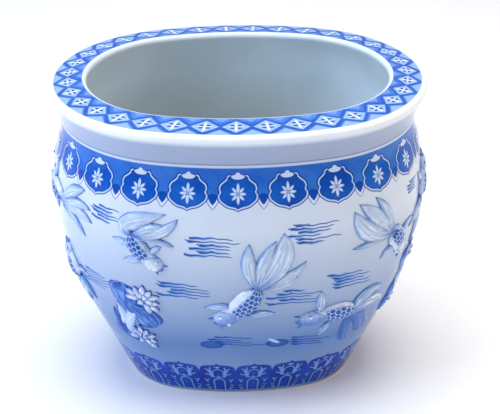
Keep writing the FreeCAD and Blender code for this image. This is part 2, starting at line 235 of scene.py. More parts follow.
class Clay:
    """Faces gathered for one piece, with what each corner holds and, where it has two or more
    materials, each face's zone."""

    def __init__(self):
        self.places = []
        self.faces = []
        self.spots = []
        self.zones = []
        self.count = 0

    def rows(self, grid, spots):
        """Quads between rows of places, each row joined end to end, with faces over both open ends."""
        rows, columns = grid.shape[:2]
        start = self.count
        self.places.append(grid.reshape(-1, 3))
        self.count += rows * columns
        for row in range(rows - 1):
            for column in range(columns):
                after = (column + 1) % columns
                corners = [(row, column), (row, after), (row + 1, after), (row + 1, column)]
                self.faces.append([start + r * columns + c for r, c in corners])
                self.spots += [spots[r, column + 1 if c == after else c] for r, c in corners]
        for row, order in ((0, range(columns - 1, -1, -1)), (rows - 1, range(columns))):
            self.faces.append([start + row * columns + c for c in order])
            self.spots += [spots[row, c] for c in order]

    def piece(self, name, materials, smooth_below=40):
        """The gathered faces as one smooth object, with its spots as UV map and attribute."""
        mesh = bpy.data.meshes.new(name)
        mesh.from_pydata((np.concatenate(self.places) * MM).tolist(), [], self.faces)
        spots = np.array(self.spots)
        layout = mesh.uv_layers.new(name="Layout")
        layout.data.foreach_set("uv", spots[:, :2].astype(np.float32).ravel())
        wide = mesh.attributes.new("spot", "FLOAT_VECTOR", "CORNER")
        wide.data.foreach_set("vector", spots[:, 2:5].astype(np.float32).ravel())
        for material in materials:
            mesh.materials.append(material)
        if self.zones:
            mesh.polygons.foreach_set("material_index", self.zones)
        mesh.shade_smooth()
        mesh.set_sharp_from_angle(angle=math.radians(smooth_below))
        mesh.validate()
        return placed(name, mesh)


def finished(piece, slot, *nodes):
    """Hands a finished piece over to the frame in place of its CAD nodes."""
    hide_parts(*nodes)
    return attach(piece, "root")


# Materials

def srgb(code):
    """Linear colour of an sRGB hex code."""
    parts = [int(code[i:i + 2], 16) / 255 for i in (0, 2, 4)]
    return tuple(p / 12.92 if p <= 0.04045 else ((p + 0.055) / 1.055) ** 2.4 for p in parts) + (1.0,)


def ink_property(name, description, code):
    """A colour that the user can change."""
    return bpy.props.FloatVectorProperty(
        name=name, description=description, subtype="COLOR", size=4, min=0.0, max=1.0, default=srgb(code))


def length_property(name, description, low, high, default):
    """A length that the user can change, given in millimetres."""
    return bpy.props.FloatProperty(
        name=name, description=description, subtype="DISTANCE", unit="LENGTH", min=low * MM, max=high * MM,
        default=default * MM)


def count_property(name, description, low, high, default):
    """A number of like things that the user can change."""
    return bpy.props.IntProperty(name=name, description=description, min=low, max=high, default=default)


def power_property(name, description, default):
    """The power of a light, in watts."""
    return bpy.props.FloatProperty(
        name=name, description=description, subtype="POWER", unit="POWER", min=0.0, default=default)


class FISHBOWL_PG_sizes(bpy.types.PropertyGroup):
    """Sizes of the castings and how finely the turned pieces are cut."""

    columns: count_property("Columns", "Quads round each turned piece", 60, 900, 420)
    body_rise: length_property("Bodies", "How far the goldfish bodies stand off the wall", 0.5, 15, 8.1)
    tail_rise: length_property("Tails", "How far the tail lobes stand off the wall", 0.5, 15, 5.2)
    fin_rise: length_property("Fins", "How far the fins stand off the wall", 0.5, 15, 3.6)
    leaf_rise: length_property("Leaves", "How far the lotus leaves stand off the wall", 0.5, 15, 3.2)
    petal_rise: length_property("Petals", "How far the lotus petals stand off the wall", 0.5, 15, 5.4)


class FISHBOWL_PG_painting(bpy.types.PropertyGroup):
    """What the painted bands repeat."""

    lozenges: count_property("Rim lozenges", "Lozenges of the diaper round the rim", 8, 90, 35)
    medallions: count_property("Collar medallions", "Medallions round the collar", 6, 60, 22)
    lappets: count_property("Foot lappets", "Lappets round the foot", 6, 60, 20)
    ripple_pitch: length_property("Ripple spacing", "Height from one painted ripple to the next", 2, 10, 4.1)


class FISHBOWL_PG_inks(bpy.types.PropertyGroup):
    """Cobalt inks and glazes."""

    white: ink_property("Glaze", "White porcelain under clear glaze", "D4DFEE")
    # The glaze darkened bluer towards the foot, laid as painted shade on the body's lower part
    shade: ink_property("Pooled glaze", "The same glaze, darkened towards the foot as painted shade", "5079B4")
    deep: ink_property("Deepest cobalt", "Drawn contours", "001F82")
    dark: ink_property("Dark cobalt", "Filled medallions", "084AAC")
    cobalt: ink_property("Cobalt", "The collar's ground", "1963C4")
    wash: ink_property("Watery cobalt", "Thin patches of the ground", "5590E0")
    line: ink_property("Brushed line", "Ripples drawn with a loaded brush", "0F5AAE")
    lappet: ink_property("Lappet cobalt", "The band round the foot", "002C9C")
    lozenge: ink_property("Diaper ground", "The rim's ground", "3868C2")
    leaf: ink_property("Leaf cobalt", "Lotus leaves", "1260BE")
    lining: ink_property("Lining", "Glaze poured round the inside", "E4F1FA")
    clay: ink_property("Bare clay", "Unglazed porcelain of the foot", "C9B79C")


class FISHBOWL_PG_stage(bpy.types.PropertyGroup):
    """The soft studio light."""

    window: power_property("Window", "Power of the soft light on the left", 36.0)
    fill: power_property("Fill", "Power of the warm light on the right", 12.0)
    top: power_property("Top", "Power of the light overhead", 48.0)
    sky: bpy.props.FloatProperty(
        name="Sky", description="Strength of the even light all round", min=0.0, default=0.36)


def add(tree, kind, inputs=(), **settings):
    """Adds a node with its settings, and links or sets its inputs, by order or name."""
    node = tree.nodes.new(kind)
    for key, value in settings.items():
        setattr(node, key, value)
    for key, value in inputs.items() if isinstance(inputs, dict) else enumerate(inputs):
        if isinstance(value, bpy.types.NodeSocket):
            tree.links.new(value, node.inputs[key])
        else:
            node.inputs[key].default_value = value
    return node


SIGNS = {ast.Add: "ADD", ast.Sub: "SUBTRACT", ast.Mult: "MULTIPLY", ast.Div: "DIVIDE",
         ast.Mod: "FLOORED_MODULO", ast.Lt: "LESS_THAN", ast.Gt: "GREATER_THAN"}
STEPS = {"abs": "ABSOLUTE", "min": "MINIMUM", "max": "MAXIMUM", "sin": "SINE", "sqrt": "SQRT",
         "floor": "FLOOR", "fract": "FRACT", "atan2": "ARCTAN2"}
KNOWN_STEPS = {"ADD": operator.add, "SUBTRACT": operator.sub, "MULTIPLY": operator.mul,
               "DIVIDE": operator.truediv}


def formula(tree, text, **known):
    """Builds a written formula from nodes. soft(d, b) is 1 where d is under 0, fading over b.
    stroke(x, y, ax, ay, bx, by, w) is how far a place lies outside a stroke of half width w, and
    oval(x, y, mx, my, a, b) is under 0 inside the ellipse with that middle and half widths."""

    def step(operation, *values, clamp=False):
        if operation in KNOWN_STEPS and all(isinstance(value, float) for value in values):
            return KNOWN_STEPS[operation](*values)
        return add(tree, "ShaderNodeMath", values, operation=operation, use_clamp=clamp).outputs[0]

    def soft(distance, fade):
        return step("SUBTRACT", 0.5, step("DIVIDE", distance, fade), clamp=True)

    def stroke(x, y, ax, ay, bx, by, width):
        run = (bx - ax, by - ay)
        size = run[0] ** 2 + run[1] ** 2
        dx = step("SUBTRACT", x, ax)
        dy = step("SUBTRACT", y, ay)
        along = step("MULTIPLY_ADD", dx, run[0] / size, step("MULTIPLY", dy, run[1] / size))
        along = step("MAXIMUM", step("MINIMUM", along, 1.0), 0.0)
        dx = step("MULTIPLY_ADD", along, -run[0], dx)
        dy = step("MULTIPLY_ADD", along, -run[1], dy)
        square = step("MULTIPLY_ADD", dx, dx, step("MULTIPLY", dy, dy))
        return step("SUBTRACT", step("SQRT", square), width)

    def oval(x, y, middle_x, middle_y, half_width, half_height):
        dx = step("DIVIDE", step("SUBTRACT", x, middle_x), half_width)
        dy = step("DIVIDE", step("SUBTRACT", y, middle_y), half_height)
        square = step("ADD", step("MULTIPLY", dx, dx), step("MULTIPLY", dy, dy))
        return step("SUBTRACT", step("SQRT", square), 1.0)

    def walk(part):
        if isinstance(part, ast.Constant):
            return float(part.value)
        if isinstance(part, ast.Name):
            return known[part.id]
        if isinstance(part, ast.UnaryOp):
            return step("MULTIPLY", walk(part.operand), -1.0)
        if isinstance(part, ast.BinOp):
            return step(SIGNS[type(part.op)], walk(part.left), walk(part.right))
        if isinstance(part, ast.Compare):
            return step(SIGNS[type(part.ops[0])], walk(part.left), walk(part.comparators[0]))
        name = part.func.id
        values = [walk(value) for value in part.args]
        if name in drawn:
            return drawn[name](*values)
        result = values[0]
        if len(values) == 1:
            return step(STEPS[name], result)
        for value in values[1:]:
            result = step(STEPS[name], result, value)
        return result

    drawn = {"soft": soft, "stroke": stroke, "oval": oval}
    return walk(ast.parse(text, mode="eval").body)


def work_out(tree, known, **formulas):
    """Adds what each formula gives to the known values, in order, so that a later one can use it."""
    for name, text in formulas.items():
        known[name] = formula(tree, text, **known)


def colour(paint):
    """A paint's colour: the output of other nodes as it is, an ink as the user set it, or a hex code."""
    if isinstance(paint, bpy.types.NodeSocket):
        return paint
    inks = bpy.context.scene.fish_bowl_inks
    return tuple(getattr(inks, paint)) if hasattr(inks, paint) else srgb(paint)


def layered(tree, known, ground, layers):
    """Lays paints over a ground in order, each where its formula is 1."""
    ground = colour(ground)
    for paint, where in layers:
        inputs = {"Factor": formula(tree, where, **known), "A": ground, "B": colour(paint)}
        ground = add(tree, "ShaderNodeMix", inputs, data_type="RGBA").outputs["Result"]
    return ground


def new_tree(name):
    """The empty node tree of a new material."""
    material = bpy.data.materials.new(name)
    material.use_nodes = True
    material.node_tree.nodes.clear()
    return material.node_tree


def glaze(tree, paint, roughness=0.12, gloss=0.16):
    """Clear glaze over the painting: a fused glass skin with a soft gloss."""
    coat = add(tree, "ShaderNodeBsdfPrincipled", {
        "Base Color": paint, "Roughness": roughness, "IOR": 1.5, "Specular IOR Level": gloss})
    add(tree, "ShaderNodeOutputMaterial", {"Surface": coat.outputs[0]})


def cloud(tree, size, detail=2.0, low=0.35, high=0.65):
    """Soft patches of about this size in millimetres, from 0 to 1."""
    place = add(tree, "ShaderNodeTexCoord").outputs["Object"]
    noise = add(tree, "ShaderNodeTexNoise", {"Vector": place, "Scale": 1 / (size * MM), "Detail": detail})
    patches = {"Value": noise.outputs[0], "From Min": low, "From Max": high}
    return add(tree, "ShaderNodeMapRange", patches).outputs[0]


def object_place(tree):
    """Place on the object, in metres, as three outputs."""
    return add(tree, "ShaderNodeSeparateXYZ", [add(tree, "ShaderNodeTexCoord").outputs["Object"]]).outputs


def held_values(tree, names):
    """What the corners of a piece hold, under these names: its UV map's two values, then its
    attribute's three."""
    layout = add(tree, "ShaderNodeUVMap", uv_map="Layout").outputs[0]
    spot = add(tree, "ShaderNodeAttribute", attribute_name="spot").outputs["Vector"]
    layout, spot = [add(tree, "ShaderNodeSeparateXYZ", [vector]).outputs for vector in (layout, spot)]
    return dict(zip(names, layout[:2] + spot[:]))


def wall_coordinates(tree):
    """Share round the oval, share up the section, reach, height and run of a place on the vessel,
    with the height where the collar's ground ends."""
    known = held_values(tree, ("around", "up", "reach", "height", "run"))
    known["collar_top"] = COLLAR_TOP
    return known


def width_curve(tree, known, text, points):
    """A width read off a curve drawn through given (0 to 1, 0 to 1) points, at what the formula gives."""
    curve = add(tree, "ShaderNodeFloatCurve", {"Value": formula(tree, text, **known)})
    line = curve.mapping.curves[0]
    while len(line.points) < len(points):
        line.points.new(0.5, 0.5)
    for point, spot in zip(line.points, points):
        point.location = spot
    curve.mapping.update()
    return curve.outputs[0]


# Ripples painted on the body: reach of the group's left end, height of its middle, its length, all
# in millimetres, its number of rows and its slope
RIPPLES = [
    (-164, 256, 42, 5, -0.10), (-66, 232, 66, 6, -0.04), (-200, 163, 56, 5, -0.02), (-92, 176, 70, 5, -0.06),
    (34, 242, 68, 6, 0.0), (22, 165, 64, 5, -0.04), (86, 178, 60, 5, -0.08), (-49, 100, 76, 4, -0.05),
    (50, 93, 62, 4, -0.10), (182, 256, 40, 4, 0.0), (190, 176, 44, 4, 0.05),
]


def ripple_group():
    """Node group that paints one group of ripples: wavering strokes of uneven length, each heavier
    where the brush set down at its left, hooked back over itself there or joined to the row above."""
    tree = bpy.data.node_groups.new("Ripple strokes", "ShaderNodeTree")
    names = ("reach", "height", "left", "middle", "length", "rows", "tilt")
    for name in names:
        tree.interface.new_socket(name.capitalize(), in_out="INPUT", socket_type="NodeSocketFloat")
    for name in ("Line", "Wash"):
        tree.interface.new_socket(name, in_out="OUTPUT", socket_type="NodeSocketFloat")
    known = dict(zip(names, add(tree, "NodeGroupInput").outputs))
    known["pitch"] = bpy.context.scene.fish_bowl_painting.ripple_pitch / MM
    work_out(tree, known,
             x="(reach - left) / length",
             sway="sin(reach * 0.16 + left) * 0.6 + sin(reach * 0.43 + middle) * 0.42",
             y="(height - middle - tilt * (reach - left) + sway) / pitch + rows / 2",
             row="floor(y)")
    seed = add(tree, "ShaderNodeCombineXYZ", [known["row"], known["left"], known["middle"]])
    chance = add(tree, "ShaderNodeTexWhiteNoise", {"Vector": seed.outputs[0]}, noise_dimensions="3D")
    pick = add(tree, "ShaderNodeSeparateColor", [chance.outputs["Color"]]).outputs
    known.update(first=pick[0], second=pick[1], third=pick[2])
    work_out(tree, known,
             start="0.02 + first * 0.34",
             stop="1 - second * 0.40",
             a="(x - start) * length",
             b="(fract(y) - 0.5) * pitch + (third - 0.5) * 0.8",
             level="(y > 0) * (y < rows)",
             inside="soft(-a, 1.2) * soft((x - stop) * length, 3.0) * level",
             half="0.56 + 0.66 * max(0, 1 - a / 17) + 0.30 * (1 - x)",
             line="soft(abs(b) - half, 0.75) * inside",
             hooked="min(stroke(a, b, 0, 0, -2.4, 1.3, 0.55), stroke(a, b, -2.4, 1.3, 5.5, 1.75, 0.5))",
             hook="soft(hooked, 0.7) * level * (third > 0.36)",
             join="soft(stroke(a, b, 15, 0.2, 11.5, 1.9, 0.45), 0.7) * inside * (first > 0.5)")
    add(tree, "NodeGroupOutput", [
        formula(tree, "max(line, hook, join * 0.9)", **known),
        formula(tree, "soft(abs(a - 12) - 10, 6.0) * level * (second > 0.3)", **known)])
    return tree


def paint_ripples(tree, known, ground):
    """Paints all the ripples: their lines over the thin wash between some of them, deeper low down."""
    group = bpy.data.node_groups.get("Ripple strokes") or ripple_group()
    lines, thin = 0.0, 0.0
    for numbers in RIPPLES:
        inputs = [known["folded"], known["height"]] + [float(number) for number in numbers]
        one = add(tree, "ShaderNodeGroup", inputs, node_tree=group).outputs
        lines = formula(tree, "max(a, b)", a=lines, b=one["Line"])
        thin = formula(tree, "max(a, b)", a=thin, b=one["Wash"])
    return layered(tree, dict(known, lines=lines, thin=thin), ground, [
        ("wash", "thin * 0.5"),
        ("line", "lines"),
        ("deep", "lines * soft(height - 112, 16) * 0.6")])


def paint_shells(tree, known, ground):
    """Paints two shells near the foot: veined bodies, one of them with a slanted light leaf."""
    known = dict(known)
    work_out(tree, known,
             x="abs(folded - 2) - 38",
             shell="oval(x, height, 0, 91.5, 13.5, 6.6)",
             vein="abs(sin(x * 0.9 + height * 0.5)) - 0.35",
             leaf="oval(x, height - 93.5 + x * 0.55, -4.5, 0, 6.5, 2.6)",
             body="soft(shell, 0.2)")
    return layered(tree, known, ground, [
        ("line", "body * 0.9"),
        ("deep", "body * min(soft(-0.28 - shell, 0.2) + soft(vein, 0.3) * 0.5, 1) * 0.7"),
        ("BCD4F8", "soft(leaf, 0.5) * (folded > 2) * 0.85")])


# The lappets' top edge from the middle line outwards, as a share of 60 mm, and the pale strokes
# drawn in them: both ends, out from the middle line and up, and half their width
LAPPET_TOP = [(0.0, 0.935), (0.07, 0.90), (0.20, 0.88), (0.50, 0.87), (0.70, 0.85), (0.83, 0.81),
              (0.93, 0.70), (1.0, 0.56)]
LAPPET_STROKES = [
    (7.6, 31, 8.8, 42, 1.6), (8.6, 42, 13.2, 45, 1.0), (8.4, 33, 14.4, 35.6, 0.9), (8.6, 42, 8.0, 47.5, 0.9),
    (8.8, 38.5, 11.6, 40.5, 0.8), (0, 47.0, 0.1, 49.4, 1.1), (1.2, 47.4, 3.0, 48.8, 0.7),
    (0, 28.6, 0.1, 31.4, 0.9), (0.6, 29, 2.4, 29.6, 0.7), (12.6, 24.4, 15.2, 22.6, 0.9),
    (15.2, 22.6, 17.0, 25.2, 0.7), (15.2, 22.6, 13.8, 19.2, 0.8), (13.2, 14.2, 17.0, 13.8, 0.7),
    (12.8, 8.8, 16.0, 9.8, 1.0), (11.8, 6.4, 14.8, 6.0, 0.6),
]


def paint_lappets(tree, known, ground):
    """Paints the lappet band at the foot: blue petals with a door, an arch and strokes left pale in
    them, over a pale line."""
    count = float(bpy.context.scene.fish_bowl_painting.lappets)
    known = dict(known, h=known["height"], count=count, phase=LAPPET_START_SHARE, pitch=LAPPET_PITCH)
    work_out(tree, known, x="abs(fract(around * count - phase) - 0.5) * pitch")
    known["top"] = width_curve(tree, known, "x / 22", LAPPET_TOP)
    strokes = ", ".join("stroke(x, h, %s, %s, %s, %s, %s)" % numbers for numbers in LAPPET_STROKES)
    work_out(tree, known,
             petal="soft(h - top * 60, 1.0) * soft(2.6 - h, 1.0)",
             over_door="max(h - 19.8, 0)",
             door="abs(max(x, sqrt(x * x + over_door * over_door)) - 6.6) - 0.9",
             off_arch="max(abs(h - 35.5) - 2.5, 0)",
             arch="max(abs(sqrt(x * x + off_arch * off_arch) - 6.0) - 0.7, 28.5 - h)",
             lines="min(door, arch, %s)" % strokes)
    blue = layered(tree, known, "lappet", [("084EC0", "wash * 0.9")])
    return layered(tree, known, ground, [
        (blue, "petal"),
        ("001766", "petal * soft(lines - 1.8, 2.4) * 0.7"),
        ("6C9AE0", "petal * soft(lines, 1.1)"),
        ("6C9AE0", "soft(abs(h - 4.2) - 0.8, 0.8)")])


# The medallions' edge from straight up to straight down, as a share of 23.7 mm, and the widths of a
# pendant's drop and of the line round it, from below up, as shares of 4.6 and 6.7 mm
MEDALLION_EDGE = [
    (0.0, 0.77), (0.09, 0.81), (0.165, 0.905), (0.225, 0.825), (0.29, 0.84), (0.36, 0.895), (0.42, 0.885),
    (0.47, 0.82), (0.53, 0.89), (0.60, 0.875), (0.67, 0.80), (0.73, 0.76), (0.80, 0.715), (0.92, 0.665),
    (1.0, 0.735)]
DROP_EDGE = [(0.0, 0.0), (0.15, 0.34), (0.40, 0.78), (0.66, 0.98), (0.86, 0.82), (0.95, 0.5), (1.0, 0.0)]
PENDANT_EDGE = [(0.0, 0.0), (0.12, 0.30), (0.32, 0.66), (0.55, 0.95), (0.80, 0.92), (0.93, 0.6), (1.0, 0.0)]


def paint_collar(tree, known, ground):
    """Paints the collar: its watery cobalt ground, pendants between the medallions, and in each
    medallion a pale star with a small lattice at its heart, under a pale cap."""
    count = float(bpy.context.scene.fish_bowl_painting.medallions)
    blue = watery_cobalt(tree, known)
    known = dict(known, count=count, shift=0.5 + MEDALLION_SHIFT_SHARE, pitch=MEDALLION_PITCH,
                 middle=MEDALLION_HEIGHT)
    work_out(tree, known,
             x="abs(fract(around * count + shift) - 0.5) * pitch",
             y="height - middle",
             v="abs(y)",
             wide="x / 0.98",
             px="abs(pitch / 2 - x)")
    known["edge"] = width_curve(tree, known, "atan2(wide, y) / 3.14159", MEDALLION_EDGE)
    known["drop"] = width_curve(tree, known, "(y + 11.5) / 12", DROP_EDGE)
    known["pendant"] = width_curve(tree, known, "(y + 16) / 18", PENDANT_EDGE)
    work_out(tree, known,
             d="sqrt(wide * wide + y * y) - edge * 23.7",
             inside="soft(d + 1.9, 0.8)",
             star="min(oval(x, v, 0, 5.4, 1.5, 4.8), oval(x, y, 4.2, 0, 3.7, 1.4),"
                  " oval((x + v) * 0.707, (x - v) * 0.707, 4.5, 0, 3.8, 1.3))",
             lattice="min(max(abs(x - 1.3) - 0.35, v - 3.4), max(abs(v - 1.3) - 0.35, x - 3.4))",
             cap="min(oval(x, y, 0, 17.1, 6.8, 2.7), oval(x, y, 0, 19.3, 2.6, 2.6))",
             cut="min(stroke(x, y, 2.2, 16.1, 4.4, 19.5, 0.35), stroke(x, y, 0.9, 18.9, 1.8, 21.1, 0.3))",
             cap_shade="soft(abs(cap - 0.16) - 0.12, 0.16) * soft(13 - y, 1) + soft(cut, 0.4) * 0.8")
    return layered(tree, known, ground, [
        (blue, "max(soft(-3.4 - y, 1.0), soft(d, 1.0)) * soft(height - collar_top, 0.9)"),
        ("dark", "soft(abs(px - pendant * 6.7) - 0.4, 0.7) * soft(y + 3.8, 1.0)"),
        ("dark", "soft(px - drop * 4.6, 0.9) * (y > -11.5) * (y < 0.5)"),
        ("deep", "soft(abs(d - 0.7) - 0.55, 0.7)"),
        ("C0D6F4", "soft(abs(d + 0.85) - 0.72, 0.7)"),
        (layered(tree, known, "dark", [("cobalt", "wash")]), "inside"),
        ("deep", "inside * soft(-3.2 - d, 2.6) * 0.4"),
        ("CBDDF7", "soft(star, 0.5)"),
        ("dark", "soft(lattice, 0.35) * 0.7"),
        ("deep", "min(cap_shade, 1) * 0.8"),
        ("CADCF6", "soft(cap, 0.25)")])


def shaded_white_glaze(tree, known):
    """The body's glaze: white porcelain under a clear glaze, laid bluer towards the foot as painted shade,
    which eases again just above it."""
    known = dict(known, patch=cloud(tree, 90), top=SHADE_TOP, bluest=SHADE_DEEPEST, thin=SHADE_EASE)
    # Painted shade: none above the top height, full from the bluest height down, easing again near the foot
    work_out(tree, known,
             pool="min(max((top - height) / (top - bluest), 0), 1)",
             low="pool * (0.62 + 0.38 * min(height / thin, 1))")
    return layered(tree, known, "white", [("shade", "low * 0.95 + patch * 0.04")])


def watery_cobalt(tree, known):
    """The collar's ground: cobalt with watery patches."""
    return layered(tree, known, "cobalt", [("wash", "wash * 0.4")])


def body_material(tree, bands):
    """Underglaze blue painting on thrown porcelain: flat colour with soft, slightly bled edges and
    watery patches, under a clear glossy glaze."""
    known = wall_coordinates(tree)
    known.update(wash=cloud(tree, 30, 3.0), half=float(run_marks(NECK[0])[3]))
    # The back is painted like the front, turned half round
    work_out(tree, known, folded="(reach + half / 2) % half - half / 2")
    ground = shaded_white_glaze(tree, known)
    for band in bands:
        ground = band(tree, known, ground)
    glaze(tree, ground)


def lower_body_material(tree):
    """The painted glaze below the seam: ripples, two shells and the lappets round the foot."""
    body_material(tree, (paint_ripples, paint_shells, paint_lappets))


def upper_body_material(tree):
    """The painted glaze above the seam: ripples, and the collar over them."""
    body_material(tree, (paint_ripples, paint_collar))


def rim_material(tree):
    """Underglaze blue diaper on the turned rim: pale lozenges with their flowers, and half ones left
    along both edges, on two blues drawn over a pale ground, under glaze."""
    known = wall_coordinates(tree)
    known.update(count=float(bpy.context.scene.fish_bowl_painting.lozenges), wash=cloud(tree, 22, 3.0),
                 shift=0.5 + LOZENGE_SHIFT_SHARE, pitch=LOZENGE_PITCH)
    work_out(tree, known,
             place="around * count - 0.17 * sin(around * 12.56637) + shift",
             x="abs(fract(place) - 0.5) * pitch",
             y="run - 15.6",
             u="abs(y)",
             d="x / 13.3 + u / 10.6 - 1",
             band="soft(0.6 - run, 0.8) * soft(run - 31.0, 0.8)")
    blue = layered(tree, known, "lozenge", [("5A8BDA", "wash * 0.8")])
    glaze(tree, layered(tree, known, "DCE8F6", [
        (blue, "band"),
        ("2050AC", "soft(abs(d - 0.30) - 0.17, 0.24) * band * 0.8"),
        ("90B0E2", "soft(0.66 - d, 0.16) * (y < 0) * band"),
        ("6E96DA", "soft(0.95 - d, 0.12) * (y > 0) * band"),
        ("8CAEE3", "soft(d, 0.09) * band"),
        ("C6D8F4", "soft(abs(d + 0.08) - 0.03, 0.06) * band * 0.9"),
        ("0C3896", "soft(oval(x, u, 3.3, 2.3, 2.5, 1.35), 0.5)"),
        ("B4CBF0", "soft(oval(x, u, 3.9, 0, 4.2, 1.2), 0.6)"),
        ("E6EFFC", "soft(oval(x, u, 0, 3.9, 1.3, 3.8), 0.5)")]))


def cove_material(tree):
    """White glazed porcelain under the rim, with one fine line above its bead, greyed blue as painted shade
    under the rim and fading to near white as a painted highlight on its round edge.
    """
    known = wall_coordinates(tree)
    known.update(wash=cloud(tree, 30, 3.0), thread=THREAD_HEIGHT, bead=BEAD_HEIGHT,
                 pale_edge=HIGHLIGHT_EDGE_HEIGHT)
    # Painted shade: the neck's ground is laid greyer blue for the shade under the rim
    glaze(tree, layered(tree, known, "A4B1CC", [
        (watery_cobalt(tree, known), "soft(height - collar_top, 0.9)"),
        ("5A78B4", "soft(abs(height - thread) - 0.55, 0.8) * 0.8"),
        ("E2EAF8", "soft(abs(height - bead) - 1.4, 0.8) * 0.55"),
        # Painted highlight on the rim's round edge
        ("EEF5FC", "soft(pale_edge - height, 7)")]))


def lining_material(tree):
    """Glazed lining: the same clear glaze, poured round the inside, greyer low down and on the left as
    painted shade, with faint specks.
    """
    x, _, z = object_place(tree)
    known = {"x": x, "z": z, "patch": cloud(tree, 120), "speck": cloud(tree, 2.5, 2.0, 0.52, 0.72)}
    glaze(tree, layered(tree, known, "lining", [
        ("BECCD6", "patch * 0.5"),
        # Painted shade: greyer low in the cavity and towards its left side
        ("B4B8B0", "soft(z - 0.27, 0.07) * soft(x - 0.10, 0.12) * 0.7"),
        ("9AA9B2", "speck * 0.08")]), 0.2)


def bare_material(tree):
    """Bare fired porcelain where the foot was wiped clean: matt, faintly sandy."""
    known = {"grain": cloud(tree, 1.2)}
    glaze(tree, layered(tree, known, "clay", [("B7A283", "grain * 0.4")]), 0.85)


# Turned pieces

def turned(section):
    """Clay swept round the oval by a closed section of (half length, height, run, zone) spots."""
    clay = Clay()
    columns = bpy.context.scene.fish_bowl_sizes.columns
    rows = len(section)
    shares = np.linspace(-0.5, 0.5, columns + 1)
    grid = np.zeros((rows, columns + 1, 3))
    spots = np.zeros((rows, columns + 1, 5))
    for row, (half, height, run, _) in enumerate(section):
        marks = run_marks(half)
        turns = np.copysign(np.interp(np.abs(shares) * 2 * marks[3], marks, TURNS), shares)
        grid[row, :, :2] = oval_spot(half, turns)[0]
        grid[row, :, 2] = height
        reach = np.copysign(np.interp(np.abs(turns), TURNS, run_marks(NECK[0])), turns)
        spots[row] = np.stack(np.broadcast_arrays(shares, row / rows, reach, height, run), -1)
    clay.places.append(grid[:, :-1].reshape(-1, 3))
    for row in range(rows):
        below = (row + 1) % rows
        ends = spots[below].copy()
        # The last row closes on the first, and keeps its own run there
        if below == 0:
            ends[:, 4] = section[row][2]
        for column in range(columns):
            after = (column + 1) % columns
            corners = [(row, column), (row, after), (below, after), (below, column)]
            clay.faces.append([r * columns + c for r, c in corners])
            clay.spots += [spots[row, column], spots[row, column + 1], ends[column + 1], ends[column]]
            clay.zones.append(section[row][3])
    return clay


def stretch(line, low, high):
    """The part of a line between two heights, with its ends cut exactly there."""
    heights = np.array([spot[1] for spot in line])
    halves = np.array([spot[0] for spot in line])
    order = 1 if heights[-1] > heights[0] else -1
    inside = [spot for spot in line if low + CUT_MARGIN < spot[1] < high - CUT_MARGIN]
    bottom, top = [(float(np.interp(z, heights[::order], halves[::order])), z) for z in (low, high)]
    return [bottom] + inside + [top] if order == 1 else [top] + inside + [bottom]


def zoned(line, zone):
    """Section spots of one zone, with their height as run."""
    return [(half, height, height, zone) for half, height in line]


def throw_foot():
    """The foot: the lowest of the glazed wall, over a ring wiped bare underneath."""
    outside = stretch(OUTSIDE, FOOT[1], RECESS_HEIGHT)
    root = (outside[-1][0] - WALL, RECESS_HEIGHT)
    shelf = outside[0][0] - FOOT_RING_WIDTH
    under = [(shelf, RECESS_HEIGHT), (shelf, FOOT_RING_BEVEL), (shelf + FOOT_RING_BEVEL, 0.0),
             (FOOT[0] - FOOT[1], 0.0), (FOOT[0] - 0.5, 0.5)]
    section = zoned(outside[:-1], 0) + zoned([outside[-1], root] + under, 1)
    return turned(section).piece("foot_ring_turned", [skin("lower"), skin("bare")])


def throw_wall(name, low, high, coat):
    """One height of the thrown wall, painted outside and lined inside."""
    outside = stretch(OUTSIDE, low, high)
    inside = stretch(inside_line(), low, high)
    section = zoned(outside[:-1], 0) + zoned(outside[-1:] + inside, 1)
    return turned(section).piece(name, [coat, skin("lining")])


def throw_rim():
    """The rim: a cove under a round edge, a broad top that slopes up to the mouth and a rolled lip.
    The run over its top is measured from the outer edge inwards."""
    outside = [NECK] + [spot for spot in OUTSIDE if spot[1] >= NECK_HEIGHT + CUT_MARGIN]
    inside = [spot for spot in inside_line() if spot[1] > NECK_HEIGHT + CUT_MARGIN]
    inside.append(stretch(inside_line(), NECK_HEIGHT, RIM_TOP - LIP_RADIUS)[-1])
    top = line_between(outside[-1], (LIP[0], RIM_TOP), 12)
    section = zoned(outside[:-1], 0)
    section += [(half, height, top[0][0] - half, 1) for half, height in top[:-1] + inside[:LIP_PLACES]]
    section += zoned(inside[LIP_PLACES:], 2)
    return turned(section).piece("rim_turned", [skin("cove"), skin("rim"), skin("lining")])


def lay_base():
    """The floor slab: a glazed top that coves into the wall, over a bare recessed underside. Its
    middle is closed by quads straight across, from each side's columns to the other's."""
    columns = bpy.context.scene.fish_bowl_sizes.columns
    wall_low, wall_high = np.interp([RECESS_HEIGHT, FLOOR_HEIGHT], HEIGHTS, HALF_LENGTHS) - WALL
    under = np.append(np.linspace(FLOOR_MIDDLE, wall_low - 1, 10), wall_low)
    over = np.append(wall_high, np.linspace(wall_high - 1, FLOOR_MIDDLE, 12))
    section = zoned([(half, RECESS_HEIGHT) for half in under], 1)
    section += zoned([(half, FLOOR_HEIGHT) for half in over], 0)
    clay = turned(section)
    last = len(section) - 1
    del clay.faces[last * columns:]
    del clay.zones[last * columns:]
    del clay.spots[last * columns * 4:]
    for row, zone, order in ((0, 1, (0, 3, 2, 1)), (last, 0, (0, 1, 2, 3))):
        height = section[row][1]
        for column in range(columns // 2):
            across = [column, column + 1, (columns - column - 1) % columns, (columns - column) % columns]
            corners = list(dict.fromkeys(across[at] for at in order))
            if len(corners) > 2:
                clay.faces.append([row * columns + corner for corner in corners])
                clay.spots += [np.array([0.0, row / len(section), 0.0, height, height])] * len(corners)
                clay.zones.append(zone)
    return clay.piece("base_slab_glazed", [skin("lining"), skin("bare")])


